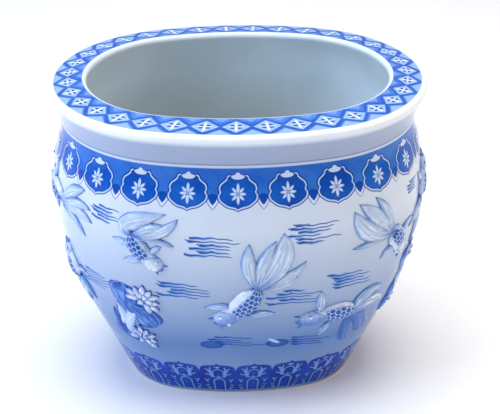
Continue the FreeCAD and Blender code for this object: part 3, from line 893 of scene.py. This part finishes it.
# Applied relief. Each goldfish: tail root round the wall from the front middle, its height and the
# fish's length, all in millimetres, then shares of that length, (round, up) from the tail root.
# Belly and snout give the body's line, and scales says where across it their band lies. A tail
# lobe has its middle, tip and width, and a fin its root, tip and width. A fish shows both eyes
# where it names no side, and its tail lobes are blunt and dark from the one that it names on.
SCHOOL = {
    "left_edge": {
        "root": (-214.0, 240.0), "length": 52.0, "belly": (-0.33, 0.13), "snout": (-0.96, 0.19),
        "width": 0.50, "scales": 0.5,
        "tail": [((0.46, 0.42), (0.88, 0.60), 0.30), ((0.60, 0.22), (1.02, 0.20), 0.26),
                 ((0.60, 0.04), (1.04, -0.08), 0.30), ((0.46, -0.21), (0.81, -0.46), 0.26)],
        "fins": [((-0.45, 0.30), (-0.31, 0.84), 0.22), ((-0.40, -0.08), (-0.60, -0.50), 0.18)],
    },
    "upper_left": {
        "root": (-112.0, 238.0), "length": 50.0, "belly": (0.15, -0.31), "snout": (0.60, -0.78),
        "width": 0.46, "scales": 0.48,
        "tail": [((-0.03, 0.27), (0.72, 0.56), 0.46), ((0.36, 0.20), (0.72, 0.27), 0.26),
                 ((0.55, 0.12), (0.95, 0.48), 0.30), ((0.50, -0.08), (0.86, -0.17), 0.19)],
        "fins": [((0.04, -0.26), (-0.45, -0.17), 0.20), ((0.22, -0.56), (-0.24, -0.65), 0.21),
                 ((0.30, -0.42), (0.60, -0.16), 0.17)],
    },
    "middle": {
        "root": (14.0, 179.0), "length": 66.0, "belly": (-0.21, -0.33), "snout": (-0.68, -0.77),
        "width": 0.46, "scales": 0.58,
        "tail": [((-0.13, 0.42), (-0.12, 0.85), 0.26), ((0.09, 0.47), (0.29, 0.88), 0.25),
                 ((0.35, 0.48), (0.40, 1.01), 0.42), ((0.42, 0.08), (0.63, 0.20), 0.20),
                 ((0.46, 0.18), (0.76, 0.47), 0.20)],
        "fins": [((-0.34, -0.36), (-0.85, -0.39), 0.19), ((-0.16, -0.55), (0.30, -0.54), 0.19)],
    },
    "upper_right": {
        "root": (162.0, 218.0), "length": 52.0, "belly": (0.21, -0.21), "snout": (0.50, -0.69),
        "width": 0.50, "scales": 0.5,
        "tail": [((-0.12, 0.48), (-0.47, 0.97), 0.26), ((-0.38, 0.48), (-0.84, 0.91), 0.36),
                 ((-0.58, 0.22), (-0.94, 0.79), 0.46), ((-0.54, -0.06), (-0.96, -0.07), 0.18)],
        "fins": [((0.10, -0.30), (-0.24, -0.56), 0.20), ((0.34, -0.12), (0.90, -0.04), 0.22)],
    },
    "right_edge": {
        "root": (243.0, 222.0), "length": 54.0, "belly": (0.05, 0.33), "snout": (0.13, 0.93),
        "width": 0.46, "scales": 0.5,
        "tail": [((-0.31, -0.13), (-0.80, -0.30), 0.26), ((-0.17, -0.44), (-0.54, -0.81), 0.30),
                 ((0.06, -0.56), (-0.09, -1.0), 0.30), ((0.35, -0.41), (0.61, -0.81), 0.24)],
        "fins": [((-0.15, 0.44), (-0.43, 0.74), 0.18), ((0.29, 0.41), (0.57, 0.63), 0.18)],
    },
    "lower_right": {
        "root": (124.0, 124.0), "length": 70.0, "belly": (-0.29, 0.13), "snout": (-0.95, 0.0),
        "width": 0.38, "scales": 0.46, "eyes": (-1,), "dark_from": 2,
        "tail": [((0.20, 0.32), (0.60, 0.34), 0.24), ((0.38, 0.13), (0.76, -0.02), 0.28),
                 ((0.32, -0.27), (0.46, -0.60), 0.36), ((0.00, -0.37), (0.09, -0.68), 0.25)],
        "fins": [((-0.56, 0.14), (-0.60, 0.62), 0.21), ((-0.36, -0.04), (-0.53, -0.41), 0.18)],
    },
    "lower_left": {
        "root": (-203.0, 150.0), "length": 50.0, "belly": (-0.18, 0.26), "snout": (-0.38, 0.76),
        "width": 0.46, "scales": 0.5,
        "tail": [((0.18, -0.16), (0.42, -0.46), 0.26), ((-0.02, -0.34), (0.0, -0.72), 0.32),
                 ((-0.26, -0.22), (-0.50, -0.56), 0.26)],
        "fins": [((-0.02, 0.22), (0.36, 0.28), 0.18), ((-0.40, 0.30), (-0.72, 0.20), 0.18)],
    },
}

# Each lotus cluster: its middle and how tall it is, then shares of that height. A leaf has its root,
# middle, tip, width and outline, and the folded ones show their pale undersides. A blossom has its
# centre, its petals' length, the directions of the first and the last petal in degrees, and how
# many petals its outer ring has.
LOTUS = {"left": ((-118.0, 128.0), 74.0), "right": ((226.0, 130.0), 66.0)}
LEAVES = [
    ((-0.07, 0.06), (-0.16, 0.32), (-0.17, 0.60), 0.56, "pad"),
    ((-0.05, 0.20), (0.11, 0.04), (0.24, -0.18), 0.54, "pad"),
    ((-0.36, -0.34), (-0.44, -0.15), (-0.45, 0.04), 0.11, "petal"),
    ((-0.34, -0.34), (-0.32, -0.12), (-0.38, 0.10), 0.10, "petal"),
    ((-0.46, -0.24), (-0.45, -0.45), (-0.29, -0.61), 0.24, "petal"),
    ((-0.30, -0.36), (-0.28, -0.52), (-0.16, -0.62), 0.16, "petal"),
]
FOLDED_LEAVES = [
    ((-0.22, -0.40), (-0.19, -0.12), (0.02, 0.12), 0.24, "petal"),
    ((-0.34, -0.26), (-0.28, -0.04), (-0.34, 0.20), 0.18, "petal"),
]
BLOSSOMS = [((0.13, 0.36), 0.30, 168.0, -62.0, 9), ((-0.05, -0.50), 0.31, 176.0, -34.0, 8)]

# Outlines and ridges from root to tip, as (share along, share of the width or rise)
OUTLINES = {
    "petal": ([0, 0.12, 0.35, 0.6, 0.8, 0.92, 1], [0.34, 0.62, 0.95, 1.0, 0.72, 0.38, 0.03]),
    "blunt": ([0, 0.12, 0.35, 0.6, 0.84, 0.95, 1], [0.34, 0.62, 0.90, 1.0, 0.96, 0.78, 0.34]),
    "pad": ([0, 0.15, 0.4, 0.65, 0.85, 0.96, 1], [0.26, 0.52, 0.84, 1.0, 0.98, 0.76, 0.34]),
    "fin": ([0, 0.2, 0.45, 0.7, 0.88, 1], [0.45, 0.72, 1.0, 0.92, 0.5, 0.03]),
    "lotus": ([0, 0.2, 0.45, 0.7, 0.88, 1], [0.5, 0.78, 1.0, 0.95, 0.58, 0.05]),
    "body": ([0, 0.08, 0.22, 0.42, 0.58, 0.68, 0.73, 0.82, 0.91, 0.96, 1],
             [0.30, 0.52, 0.86, 1.0, 0.93, 0.80, 0.76, 0.86, 0.80, 0.62, 0.26]),
}
RIDGES = {
    "petal": ([0, 0.2, 0.6, 0.9, 1], [0.7, 1.0, 0.85, 0.45, 0.12]),
    "blunt": ([0, 0.2, 0.6, 0.9, 1], [0.7, 1.0, 0.9, 0.7, 0.2]),
    "pad": ([0, 0.2, 0.6, 0.9, 1], [0.8, 0.9, 0.8, 1.0, 0.5]),
    "fin": ([0, 0.3, 0.8, 1], [0.9, 1.0, 0.55, 0.1]),
    "lotus": ([0, 0.3, 0.7, 0.92, 1], [0.55, 0.8, 1.0, 0.8, 0.2]),
    "body": ([0, 0.1, 0.25, 0.5, 0.66, 0.71, 0.8, 0.91, 1],
             [0.5, 0.72, 0.96, 1.0, 0.84, 0.70, 0.84, 0.62, 0.14]),
}

# How deep a lobe's edge and its hidden base lie under the wall's face
UNDER = 2.0
BASE_UNDER = 2.8

# How a lobe's rows crowd towards its tip, and how its cross section bends at the edge and the crown
ROW_CROWDING = 0.9
EDGE_BEND = 2.4
CROWN_BEND = 0.62

# Furrows in each kind of lobe, and how deep they are as a share of its rise
TAIL_FURROWS = (3, 0.34)
FIN_FURROWS = (2, 0.25)
LEAF_FURROWS = (3, 0.3)

# How far apart the seeds of a fish's lobes and of a cluster's leaves and petals are
LOBE_SEEDS = 0.13
LEAF_SEEDS = 0.11
PETAL_SEEDS = 0.09

# How much lower each tail lobe lies than the last, and how much higher folded leaves lie than flat
# ones, as shares of their rise
TAIL_STEP = 0.05
FOLD_STEP = 0.3

# A blossom's two rings of petals, by their length and rise as shares, then shares of a petal's
# length: where it starts, its width, how long every other petal is, and the heart's radius. The
# heart's own rise is a share of the petals'.
PETAL_RINGS = ((1.0, 0.62), (0.62, 1.0))
PETAL_START = 0.14
PETAL_WIDTH = 0.42
SHORT_PETAL = 0.88
HEART_RADIUS = 0.14
HEART_RISE = 0.5

# Shares of a goldfish's line where its eyes and barbels sit, shares of its width for how far out
# they are and for the eyes' radius, and how far the eyes stand out as a share of its body's rise
EYES_ALONG = 0.85
BARBELS_ALONG = 0.93
EYES_OUT = 0.22
BARBELS_OUT = 0.2
EYE_RADIUS = 0.078
EYE_RISE = 0.52

# A barbel's width as a share of the fish's length, its rise as a share of a fin's, how it spreads
# sideways, and for each barbel its side and its length as a share of the fish's
BARBEL_WIDTH = 0.055
BARBEL_RISE = 0.6
BARBEL_SPREAD = 0.6
BARBELS = [(1, 0.12), (-1, 0.12), (0.25, 0.10)]


def route_places(route, shares):
    """Places and sideways directions along the smooth line through a route's root, middle and tip."""
    root, middle, tip = [np.array(spot, float) for spot in route]
    bend = 2 * middle - (root + tip) / 2
    s = shares[:, None]
    places = (1 - s) ** 2 * root + 2 * s * (1 - s) * bend + s * s * tip
    run = 2 * (1 - s) * (bend - root) + 2 * s * (tip - bend)
    run /= np.linalg.norm(run, axis=1, keepdims=True)
    return places, np.stack([-run[:, 1], run[:, 0]], -1)


def mould_lobe(clay, route, width, height, outline, furrows=(0, 0.0), seed=0.0, along=26, across=17):
    """A rounded lobe pressed on the wall along a route, with furrows from root to tip. Its spots hold
    the share across and along, then the distance from its edge, its length so far and a seed."""
    shares = np.linspace(0, 1, along) ** ROW_CROWDING
    places, sideways = route_places(route, shares)
    halves = width / 2 * np.interp(shares, *OUTLINES[outline])
    ridges = height * np.interp(shares, *RIDGES[outline])
    t = np.sin(np.linspace(-np.pi / 2, np.pi / 2, across))
    dome = np.clip(1 - np.abs(t) ** EDGE_BEND, 0, 1) ** CROWN_BEND
    number, depth = furrows
    fold = 1 - depth * (0.5 - 0.5 * np.cos(np.pi * (t + 1) * number)) * (1 - t * t)
    proud = ridges[:, None] * (dome * fold)[None, :] - UNDER * (1 - dome[None, :])
    reaches = places[:, :1] + halves[:, None] * t * sideways[:, :1]
    heights = places[:, 1:] + halves[:, None] * t * sideways[:, 1:]
    top = wall_place(reaches, heights, proud)
    base = wall_place(places[:, :1], places[:, 1:], np.full((along, 1), -BASE_UNDER))
    grid = np.concatenate([top, base], 1)
    length = np.concatenate([[0], np.cumsum(np.linalg.norm(np.diff(places, axis=0), axis=1))])
    spots = np.zeros((along, across + 2, 5))
    spots[:, :across, 0] = (t + 1) / 2
    spots[:, :, 1] = shares[:, None]
    spots[:, :across, 2] = halves[:, None] * (1 - np.abs(t))
    spots[:, :, 3] = length[:, None]
    spots[:, :, 4] = seed
    clay.rows(grid, spots)


def add_ball(clay, place, proud, radius):
    """A small ball on the wall, such as an eye or a blossom's centre. Its spots hold how far each
    place faces off the wall, and a seed of 2."""
    ends = [wall_place(np.array([[place[0]]]), np.array([[place[1]]]), np.array([[far]]))[0, 0]
            for far in (proud, proud + 1)]
    turns = np.linspace(0.02, math.pi - 0.02, 9)
    rounds = np.linspace(0, 2 * math.pi, 14, endpoint=False)
    ball = np.stack([np.outer(np.sin(turns), np.cos(rounds)), np.outer(np.sin(turns), np.sin(rounds)),
                     np.outer(-np.cos(turns), np.ones(14))], -1)
    spots = np.zeros((9, 15, 5))
    spots[:, :14, 0] = 0.5 + 0.5 * ball @ (ends[1] - ends[0])
    spots[:, 14, 0] = spots[:, 0, 0]
    spots[..., 1], spots[..., 2], spots[..., 4] = 0.8, radius, 2.0
    clay.rows(ball * radius + ends[0], spots)


def pair_tree(material):
    """Geometry Nodes: castings from one mould, turned round the bowl evenly and joined in one mesh."""
    tree = bpy.data.node_groups.new("Pair of castings", "GeometryNodeTree")
    tree.interface.new_socket("Casting", in_out="INPUT", socket_type="NodeSocketGeometry")
    number = tree.interface.new_socket("Castings", in_out="INPUT", socket_type="NodeSocketInt")
    number.default_value = 2
    tree.interface.new_socket("Geometry", in_out="OUTPUT", socket_type="NodeSocketGeometry")
    given = add(tree, "NodeGroupInput").outputs
    line = add(tree, "GeometryNodeMeshLine", {"Count": given[1], "Offset": (0, 0, 0)})
    index = add(tree, "GeometryNodeInputIndex").outputs[0]
    turn = formula(tree, "index / count * whole", index=index, count=given[1], whole=2 * math.pi)
    facing = add(tree, "ShaderNodeCombineXYZ", {"Z": turn}).outputs[0]
    held = add(tree, "GeometryNodeInstanceOnPoints",
               {"Points": line.outputs[0], "Instance": given[0], "Rotation": facing}).outputs[0]
    real = add(tree, "GeometryNodeRealizeInstances", {"Geometry": held}).outputs[0]
    coat = add(tree, "GeometryNodeSetMaterial", {"Geometry": real, "Material": material}).outputs[0]
    add(tree, "NodeGroupOutput", [coat])
    return tree


def cast_pair(clay, name, material):
    """One casting on the front and its twin, turned half round, on the back, as one plain mesh."""
    piece = clay.piece(name, [material], smooth_below=75)
    tree = pair_tree(material)
    modifier = piece.modifiers.new("Pair", "NODES")
    modifier.node_group = tree
    modifier[tree.interface.items_tree["Castings"].identifier] = 2
    bpy.context.view_layer.update()
    graph = bpy.context.evaluated_depsgraph_get()
    mesh = bpy.data.meshes.new_from_object(piece.evaluated_get(graph))
    piece.modifiers.clear()
    piece.data = mesh
    bpy.data.node_groups.remove(tree)
    return piece


def near(root, length, shares):
    """A place on the wall from shares of a piece's length."""
    return (root[0] + length * shares[0], root[1] + length * shares[1])


def straight(start, tip):
    """A route with its middle half way."""
    return start, tuple((a + b) / 2 for a, b in zip(start, tip)), tip


def rise(kind):
    """How far castings of this kind stand off the wall, in millimetres, as the user set it."""
    return getattr(bpy.context.scene.fish_bowl_sizes, kind + "_rise") / MM


def mould_fish(name):
    """Body with eyes, tail, and fins with barbels, of one goldfish."""
    fish = SCHOOL[name]
    root, length = fish["root"], fish["length"]
    body, tail, fins = Clay(), Clay(), Clay()
    route = (root, near(root, length, fish["belly"]), near(root, length, fish["snout"]))
    width = length * fish["width"]
    mould_lobe(body, route, width, rise("body"), "body", seed=fish["scales"], along=36, across=23)
    (head, mouth), (head_side, mouth_side) = route_places(route, np.array([EYES_ALONG, BARBELS_ALONG]))
    for side in fish.get("eyes", (1, -1)):
        eye = head + side * EYES_OUT * width * head_side
        add_ball(body, eye, rise("body") * EYE_RISE, width * EYE_RADIUS)
    ahead = np.array([mouth_side[1], -mouth_side[0]])
    for side, reach in BARBELS:
        lip = mouth + side * BARBELS_OUT * width * mouth_side
        tip = lip + length * reach * (ahead + BARBEL_SPREAD * side * mouth_side)
        mould_lobe(fins, straight(lip, tip), length * BARBEL_WIDTH, rise("fin") * BARBEL_RISE, "fin",
                   seed=0.9, along=10, across=7)
    for index, (middle, tip, share) in enumerate(fish["tail"]):
        lobe_route = (root, near(root, length, middle), near(root, length, tip))
        blunt = index >= fish.get("dark_from", len(fish["tail"]))
        mould_lobe(tail, lobe_route, length * share, rise("tail") * (1 - TAIL_STEP * index),
                   "blunt" if blunt else "petal", TAIL_FURROWS, index * LOBE_SEEDS + blunt)
    for index, (start, tip, share) in enumerate(fish["fins"]):
        route = straight(near(root, length, start), near(root, length, tip))
        mould_lobe(fins, route, length * share, rise("fin"), "fin", FIN_FURROWS, index * LOBE_SEEDS, 18, 13)
    return {"body": body, "tail": tail, "fins": fins}


def mould_lotus(name):
    """Leaves and blossoms of one lotus cluster. The petals of a blossom fan out from its centre, the
    second ring shorter and higher."""
    place, size = LOTUS[name]
    leaves, blossoms = Clay(), Clay()
    for pale, group in enumerate((LEAVES, FOLDED_LEAVES)):
        for index, (root, middle, tip, share, outline) in enumerate(group):
            route = [near(place, size, spot) for spot in (root, middle, tip)]
            mould_lobe(leaves, route, size * share, rise("leaf") * (1 + FOLD_STEP * pale), outline,
                       LEAF_FURROWS, index * LEAF_SEEDS + pale)
    for centre, long, first, last, count in BLOSSOMS:
        for ring, (share, higher) in enumerate(PETAL_RINGS):
            petals = count - 4 * ring
            for index in range(petals):
                turn = math.radians(first + (last - first) * (index + 0.5 * ring) / (petals - 1 + ring))
                reach = long * share * (1.0 if index % 2 else SHORT_PETAL)
                out = (math.cos(turn), math.sin(turn))
                ends = [near(place, size, near(centre, far, out)) for far in (PETAL_START * long, reach)]
                mould_lobe(blossoms, straight(*ends), size * long * PETAL_WIDTH, rise("petal") * higher,
                           "lotus", seed=index * PETAL_SEEDS, along=15, across=11)
        heart = near(place, size, centre)
        add_ball(blossoms, heart, rise("petal") * HEART_RISE, size * long * HEART_RADIUS)
    return {"leaves": leaves, "blossoms": blossoms}


def lobe_coordinates(tree):
    """Share across and along a lobe, millimetres in from its edge and along it, its seed, and how
    low on the wall it lies, where painted shade turns it bluer."""
    known = held_values(tree, ("across", "along", "edge", "length", "seed"))
    known["low"] = formula(tree, "min(max((0.20 - z) / 0.10, 0), 1)", z=object_place(tree)[2])
    return known


def streaks(tree, known, across, along, scale, detail):
    """Noise drawn out from root to tip, by formulas for its place across and along a lobe."""
    place = [formula(tree, across, **known), formula(tree, along, **known), 0.0]
    place = add(tree, "ShaderNodeCombineXYZ", place).outputs[0]
    return add(tree, "ShaderNodeTexNoise", {"Vector": place, "Scale": scale, "Detail": detail}).outputs[0]


def fin_material(tree, ridge, groove, line, reach):
    """Pressed porcelain fins under cobalt glaze: white along the ridges, blue in the grooves and at the
    root, with drawn outlines and fine rays. The blue towards the edges and low on the wall is partly painted
    shade."""
    known = dict(lobe_coordinates(tree), reach=reach, patch=cloud(tree, 9))
    known["ray"] = streaks(tree, known, "across * 6 + seed * 20", "along * 1.1", 2.2, 3.0)
    # Partly painted shade: bluer towards the lobe's edge, and the blue and rays deeper low on the wall
    work_out(tree, known,
             dark="(seed > 0.9) * (seed < 1.5)",
             pooled="min(soft(edge - reach, 3.4) * (0.74 + 0.26 * low) + soft(along - 0.16, 0.36) * 0.8"
                    " + soft(0.48 - ray, 0.12) * (0.34 + 0.3 * low) + dark, 1)")
    glaze(tree, layered(tree, known, ridge, [
        (groove, "pooled * 0.95 + patch * 0.12"),
        ("2A62B4", "dark * (0.62 + 0.35 * soft(0.5 - ray, 0.1))"),
        (line, "soft(abs(ray - 0.5) - 0.02, 0.06) * (0.45 + 0.4 * low)"),
        (line, "soft(edge - 0.9, 0.6) * 0.95")]), 0.09, 0.45)


def scale_material(tree):
    """Pressed porcelain goldfish bodies: overlapping rows of brushed cobalt scales between tail and
    gill, pale flanks and head, and dark drawn edges, under clear glaze. One flank and one side of the
    head are laid bluer as painted shade, more so low on the wall."""
    known = dict(lobe_coordinates(tree), freckle=cloud(tree, 4), patch=cloud(tree, 7))
    work_out(tree, known,
             row="length / 5.6",
             u="abs(fract(across * 5 + floor(row) % 2 * 0.5) - 0.5)",
             v="fract(row) - 0.42",
             blot="sqrt(u * u + v * v * 0.8) - 0.455",
             band="soft(abs(across - seed) - 0.31, 0.10)",
             trunk="soft(0.04 - along, 0.04) * soft(along - 0.68, 0.05) * band",
             gill="along - 0.69 - (across - 0.5) * (across - 0.5) * 0.55",
             head="soft(-gill, 0.04)",
             eye="seed > 1.5")
    glaze(tree, layered(tree, known, "E8F0FA", [
        # Painted shade: one flank bluer, more so low on the wall, over random patches
        ("6C98DA", "min(soft(0.72 - across, 0.5) * 0.55 + patch * 0.25 + low * (0.4 + 0.45 * head), 1)"),
        ("A3C0EA", "trunk"),
        ("004CA6", "soft(blot, 0.08) * trunk"),
        ("0A4CA4", "soft(along - 0.05, 0.08) * soft(u - 0.3, 0.2)"),
        ("2456AE", "soft(abs(gill) - 0.012, 0.02) * 0.6"),
        ("2C5CB4", "soft(0.945 - along, 0.03) * soft(abs(across - 0.5) - 0.34, 0.1) * 0.85"),
        # Painted shade on one side of the head, deeper low on the wall, with random freckles
        ("2C68BA", "head * (low * 0.8 * soft(0.36 - across, 0.3) + freckle * 0.25)"),
        ("2A5CB4", "soft(edge - 0.8, 0.8) * 0.85"),
        ("DEE9F6", "eye"),
        ("2A58AC", "eye * soft(across - 0.72, 0.12)")]), 0.09, 0.5)


def leaf_material(tree):
    """Lotus leaves laid in strong cobalt with darker veins that run out from the stalk, and folded
    leaves that show their pale undersides."""
    known = dict(lobe_coordinates(tree), patch=cloud(tree, 10, 3.0))
    known["vein"] = streaks(tree, known, "across * 12 + seed * 30", "along * 1.6", 1.5, 2.0)
    work_out(tree, known, border="soft(edge - 0.6, 0.6)", veins="soft(vein - 0.49, 0.07)")
    dark = layered(tree, known, "leaf", [
        ("4F86DC", "patch * 0.35"),
        ("003A94", "veins * 0.75"),
        ("7FABEC", "soft(0.58 - vein, 0.05) * 0.65"),
        ("123C96", "border * 0.8")])
    light = layered(tree, known, "CFDFF6", [
        ("6A98DC", "min(soft(edge - 2.4, 3.0) * 0.7 + veins * 0.4, 1)"),
        ("2A5CB4", "border * 0.9")])
    glaze(tree, layered(tree, known, dark, [(light, "seed > 0.9")]), 0.1, 0.35)


# Each material's name, the function that mixes it, and what sets it apart from its like
SKINS = {
    "lower": ("Underglaze blue on thrown porcelain, lower body", lower_body_material),
    "upper": ("Underglaze blue on thrown porcelain, upper body", upper_body_material),
    "rim": ("Underglaze blue diaper on the turned rim", rim_material),
    "cove": ("White glazed neck", cove_material),
    "lining": ("Poured glaze lining", lining_material),
    "bare": ("Bare fired porcelain", bare_material),
    "body": ("Brushed cobalt scales on pressed porcelain", scale_material),
    "tail": ("Pooled glaze on pressed tail lobes", fin_material, "DDEAF6", "5288CC", "2A60AC", 2.1),
    "fins": ("Pooled glaze on pressed fins", fin_material, "CFE0F4", "4A82CC", "1E56A8", 1.5),
    "leaves": ("Deep cobalt over pressed leaves", leaf_material),
    "blossoms": ("White glaze on pressed petals", fin_material, "F6FAFF", "4C82D2", "1E4EA0", 1.0),
}


def skin(key):
    """The material of this kind, mixed on its first use."""
    name, mix, *apart = SKINS[key]
    if name not in bpy.data.materials:
        mix(new_tree(name), *apart)
    return bpy.data.materials[name]


# The soft lights by their setting: place and size in metres, and colour
LIGHTS = {
    "window": ((-1.9, -0.55, 1.35), 1.5, "CADFFF"),
    "fill": ((1.9, -0.3, 1.0), 1.4, "FFE0BC"),
    "top": ((0.0, 0.1, 2.4), 2.0, "FFFFFF"),
}
LIT_PLACE = (0, 0, 0.2)
FLOOR_REACH = 6.0

# The camera fitted to the photograph: its place in metres, where it looks, which way is level, and
# its focal length and picture width in pixels
CAMERA_PLACE = (-0.0375, -1.33903, 0.91547)
CAMERA_AHEAD = (0.03290, 0.88001, -0.47381)
CAMERA_LEVEL = (0.99925, -0.03864, -0.00238)
FOCAL_LENGTH = 1346.3
PICTURE_WIDTH = 500
SENSOR_WIDTH = 36.0


def lay_floor():
    """A pale paper floor under the foot."""
    mesh = bpy.data.meshes.new("Floor")
    corners = [(-1, -1), (1, -1), (1, 1), (-1, 1)]
    mesh.from_pydata([(x * FLOOR_REACH, y * FLOOR_REACH, 0) for x, y in corners], [], [(0, 1, 2, 3)])
    glaze(new_tree("Pale paper floor"), srgb("FFFFFF"), 0.9)
    mesh.materials.append(bpy.data.materials["Pale paper floor"])
    floor = placed("Floor", mesh)


def hang_lights(stage):
    """Soft light from the left, the right and overhead, in an even pale sky."""
    world = bpy.data.worlds.new("Soft studio")
    bpy.context.scene.world = world
    world.use_nodes = True
    sky = world.node_tree.nodes["Background"]
    sky.inputs["Color"].default_value = srgb("F4F7FF")
    sky.inputs["Strength"].default_value = stage.sky
    for name, (place, size, code) in LIGHTS.items():
        light = bpy.data.lights.new(name.capitalize(), "AREA")
        light.size = size
        light.energy = getattr(stage, name)
        light.color = srgb(code)[:3]
        lamp = placed(name.capitalize(), light)
        lamp.location = place
        lamp.rotation_euler = (Vector(LIT_PLACE) - Vector(place)).to_track_quat("-Z", "Y").to_euler()


def set_camera():
    """A camera where the photograph was taken."""
    camera = bpy.data.cameras.new("Camera")
    camera.sensor_width = SENSOR_WIDTH
    camera.lens = FOCAL_LENGTH / PICTURE_WIDTH * SENSOR_WIDTH
    camera.clip_start = 0.01
    ahead = Vector(CAMERA_AHEAD).normalized()
    level = Vector(CAMERA_LEVEL).normalized()
    turn = Matrix((level, level.cross(ahead), -ahead)).transposed().to_4x4()
    eye = placed("Camera", camera)
    eye.matrix_world = Matrix.Translation(CAMERA_PLACE) @ turn
    bpy.context.scene.camera = eye


CASTING_SLOTS = {"body": "goldfish_body_glaze", "tail": "goldfish_fin_glaze", "fins": "goldfish_fin_glaze",
                 "leaves": "lotus_leaf_glaze", "blossoms": "lotus_blossom_glaze"}


def apply_castings(kind, name, clays):
    """Casts each part of a goldfish or a lotus twice, in place of its CAD node."""
    for part, clay in clays.items():
        node = "%s_%s_%s" % (kind, name, part)
        finished(cast_pair(clay, node + "_glazed", skin(part)), CASTING_SLOTS[part], node)


class FISHBOWL_OT_foot(bpy.types.Operator):
    """Turn the foot ring"""

    bl_idname = "fish_bowl.foot"
    bl_label = "Foot Ring"

    def execute(self, context):
        finished(throw_foot(), "bare_porcelain", "foot_ring")
        return {"FINISHED"}


class FISHBOWL_OT_base(bpy.types.Operator):
    """Lay the floor slab in the foot"""

    bl_idname = "fish_bowl.base"
    bl_label = "Floor Slab"

    def execute(self, context):
        finished(lay_base(), "celadon_white_glaze", "base_slab")
        return {"FINISHED"}


class FISHBOWL_OT_walls(bpy.types.Operator):
    """Throw and paint the lower and the upper wall"""

    bl_idname = "fish_bowl.walls"
    bl_label = "Walls"

    def execute(self, context):
        lower = throw_wall("lower_wall_thrown", RECESS_HEIGHT, SEAM_HEIGHT, skin("lower"))
        finished(lower, "celadon_white_glaze", "lower_wall")
        upper = throw_wall("upper_wall_thrown", SEAM_HEIGHT, NECK_HEIGHT, skin("upper"))
        finished(upper, "cobalt_painted_glaze", "upper_wall")
        return {"FINISHED"}


class FISHBOWL_OT_rim(bpy.types.Operator):
    """Turn and paint the rim"""

    bl_idname = "fish_bowl.rim"
    bl_label = "Rim"

    def execute(self, context):
        finished(throw_rim(), "cobalt_painted_glaze", "rim")
        return {"FINISHED"}


class FISHBOWL_OT_goldfish(bpy.types.Operator):
    """Press, apply and paint the goldfish"""

    bl_idname = "fish_bowl.goldfish"
    bl_label = "Goldfish"

    def execute(self, context):
        for name in SCHOOL:
            apply_castings("goldfish", name, mould_fish(name))
        return {"FINISHED"}


class FISHBOWL_OT_lotus(bpy.types.Operator):
    """Press, apply and paint the lotus"""

    bl_idname = "fish_bowl.lotus"
    bl_label = "Lotus"

    def execute(self, context):
        for name in LOTUS:
            apply_castings("lotus", name, mould_lotus(name))
        return {"FINISHED"}


class FISHBOWL_OT_stage(bpy.types.Operator):
    """Set the floor, the lights and the camera"""

    bl_idname = "fish_bowl.stage"
    bl_label = "Stage"

    def execute(self, context):
        context.scene.view_settings.view_transform = "Standard"
        lay_floor()
        hang_lights(context.scene.fish_bowl_stage)
        set_camera()
        return {"FINISHED"}


OPERATORS = (FISHBOWL_OT_foot, FISHBOWL_OT_base, FISHBOWL_OT_walls, FISHBOWL_OT_rim,
             FISHBOWL_OT_goldfish, FISHBOWL_OT_lotus, FISHBOWL_OT_stage)
SETTINGS = {"fish_bowl_sizes": FISHBOWL_PG_sizes, "fish_bowl_painting": FISHBOWL_PG_painting,
            "fish_bowl_inks": FISHBOWL_PG_inks, "fish_bowl_stage": FISHBOWL_PG_stage}


class FISHBOWL_PT_panel(bpy.types.Panel):
    """Lists the pieces of the fish bowl and their settings"""

    bl_idname = "FISHBOWL_PT_panel"
    bl_label = "Fish Bowl"
    bl_space_type = "VIEW_3D"
    bl_region_type = "UI"
    bl_category = "Fish Bowl"

    def draw(self, context):
        for operator in OPERATORS:
            self.layout.operator(operator.bl_idname)
        for name, group in SETTINGS.items():
            box = self.layout.box()
            for key in group.__annotations__:
                box.prop(getattr(context.scene, name), key)


CLASSES = tuple(SETTINGS.values()) + OPERATORS + (FISHBOWL_PT_panel,)


def register():
    """Makes the settings, the operators and the panel known to Blender."""
    for kind in CLASSES:
        bpy.utils.register_class(kind)
    for name, group in SETTINGS.items():
        setattr(bpy.types.Scene, name, bpy.props.PointerProperty(type=group))


def unregister():
    """Takes them away again."""
    for name in SETTINGS:
        delattr(bpy.types.Scene, name)
    for kind in reversed(CLASSES):
        bpy.utils.unregister_class(kind)


def main():
    """Makes every piece and the stage."""
    register()
    bpy.ops.fish_bowl.foot()
    bpy.ops.fish_bowl.base()
    bpy.ops.fish_bowl.walls()
    bpy.ops.fish_bowl.rim()
    bpy.ops.fish_bowl.goldfish()
    bpy.ops.fish_bowl.lotus()
    bpy.ops.fish_bowl.stage()


if __name__ == "__main__":
    main()
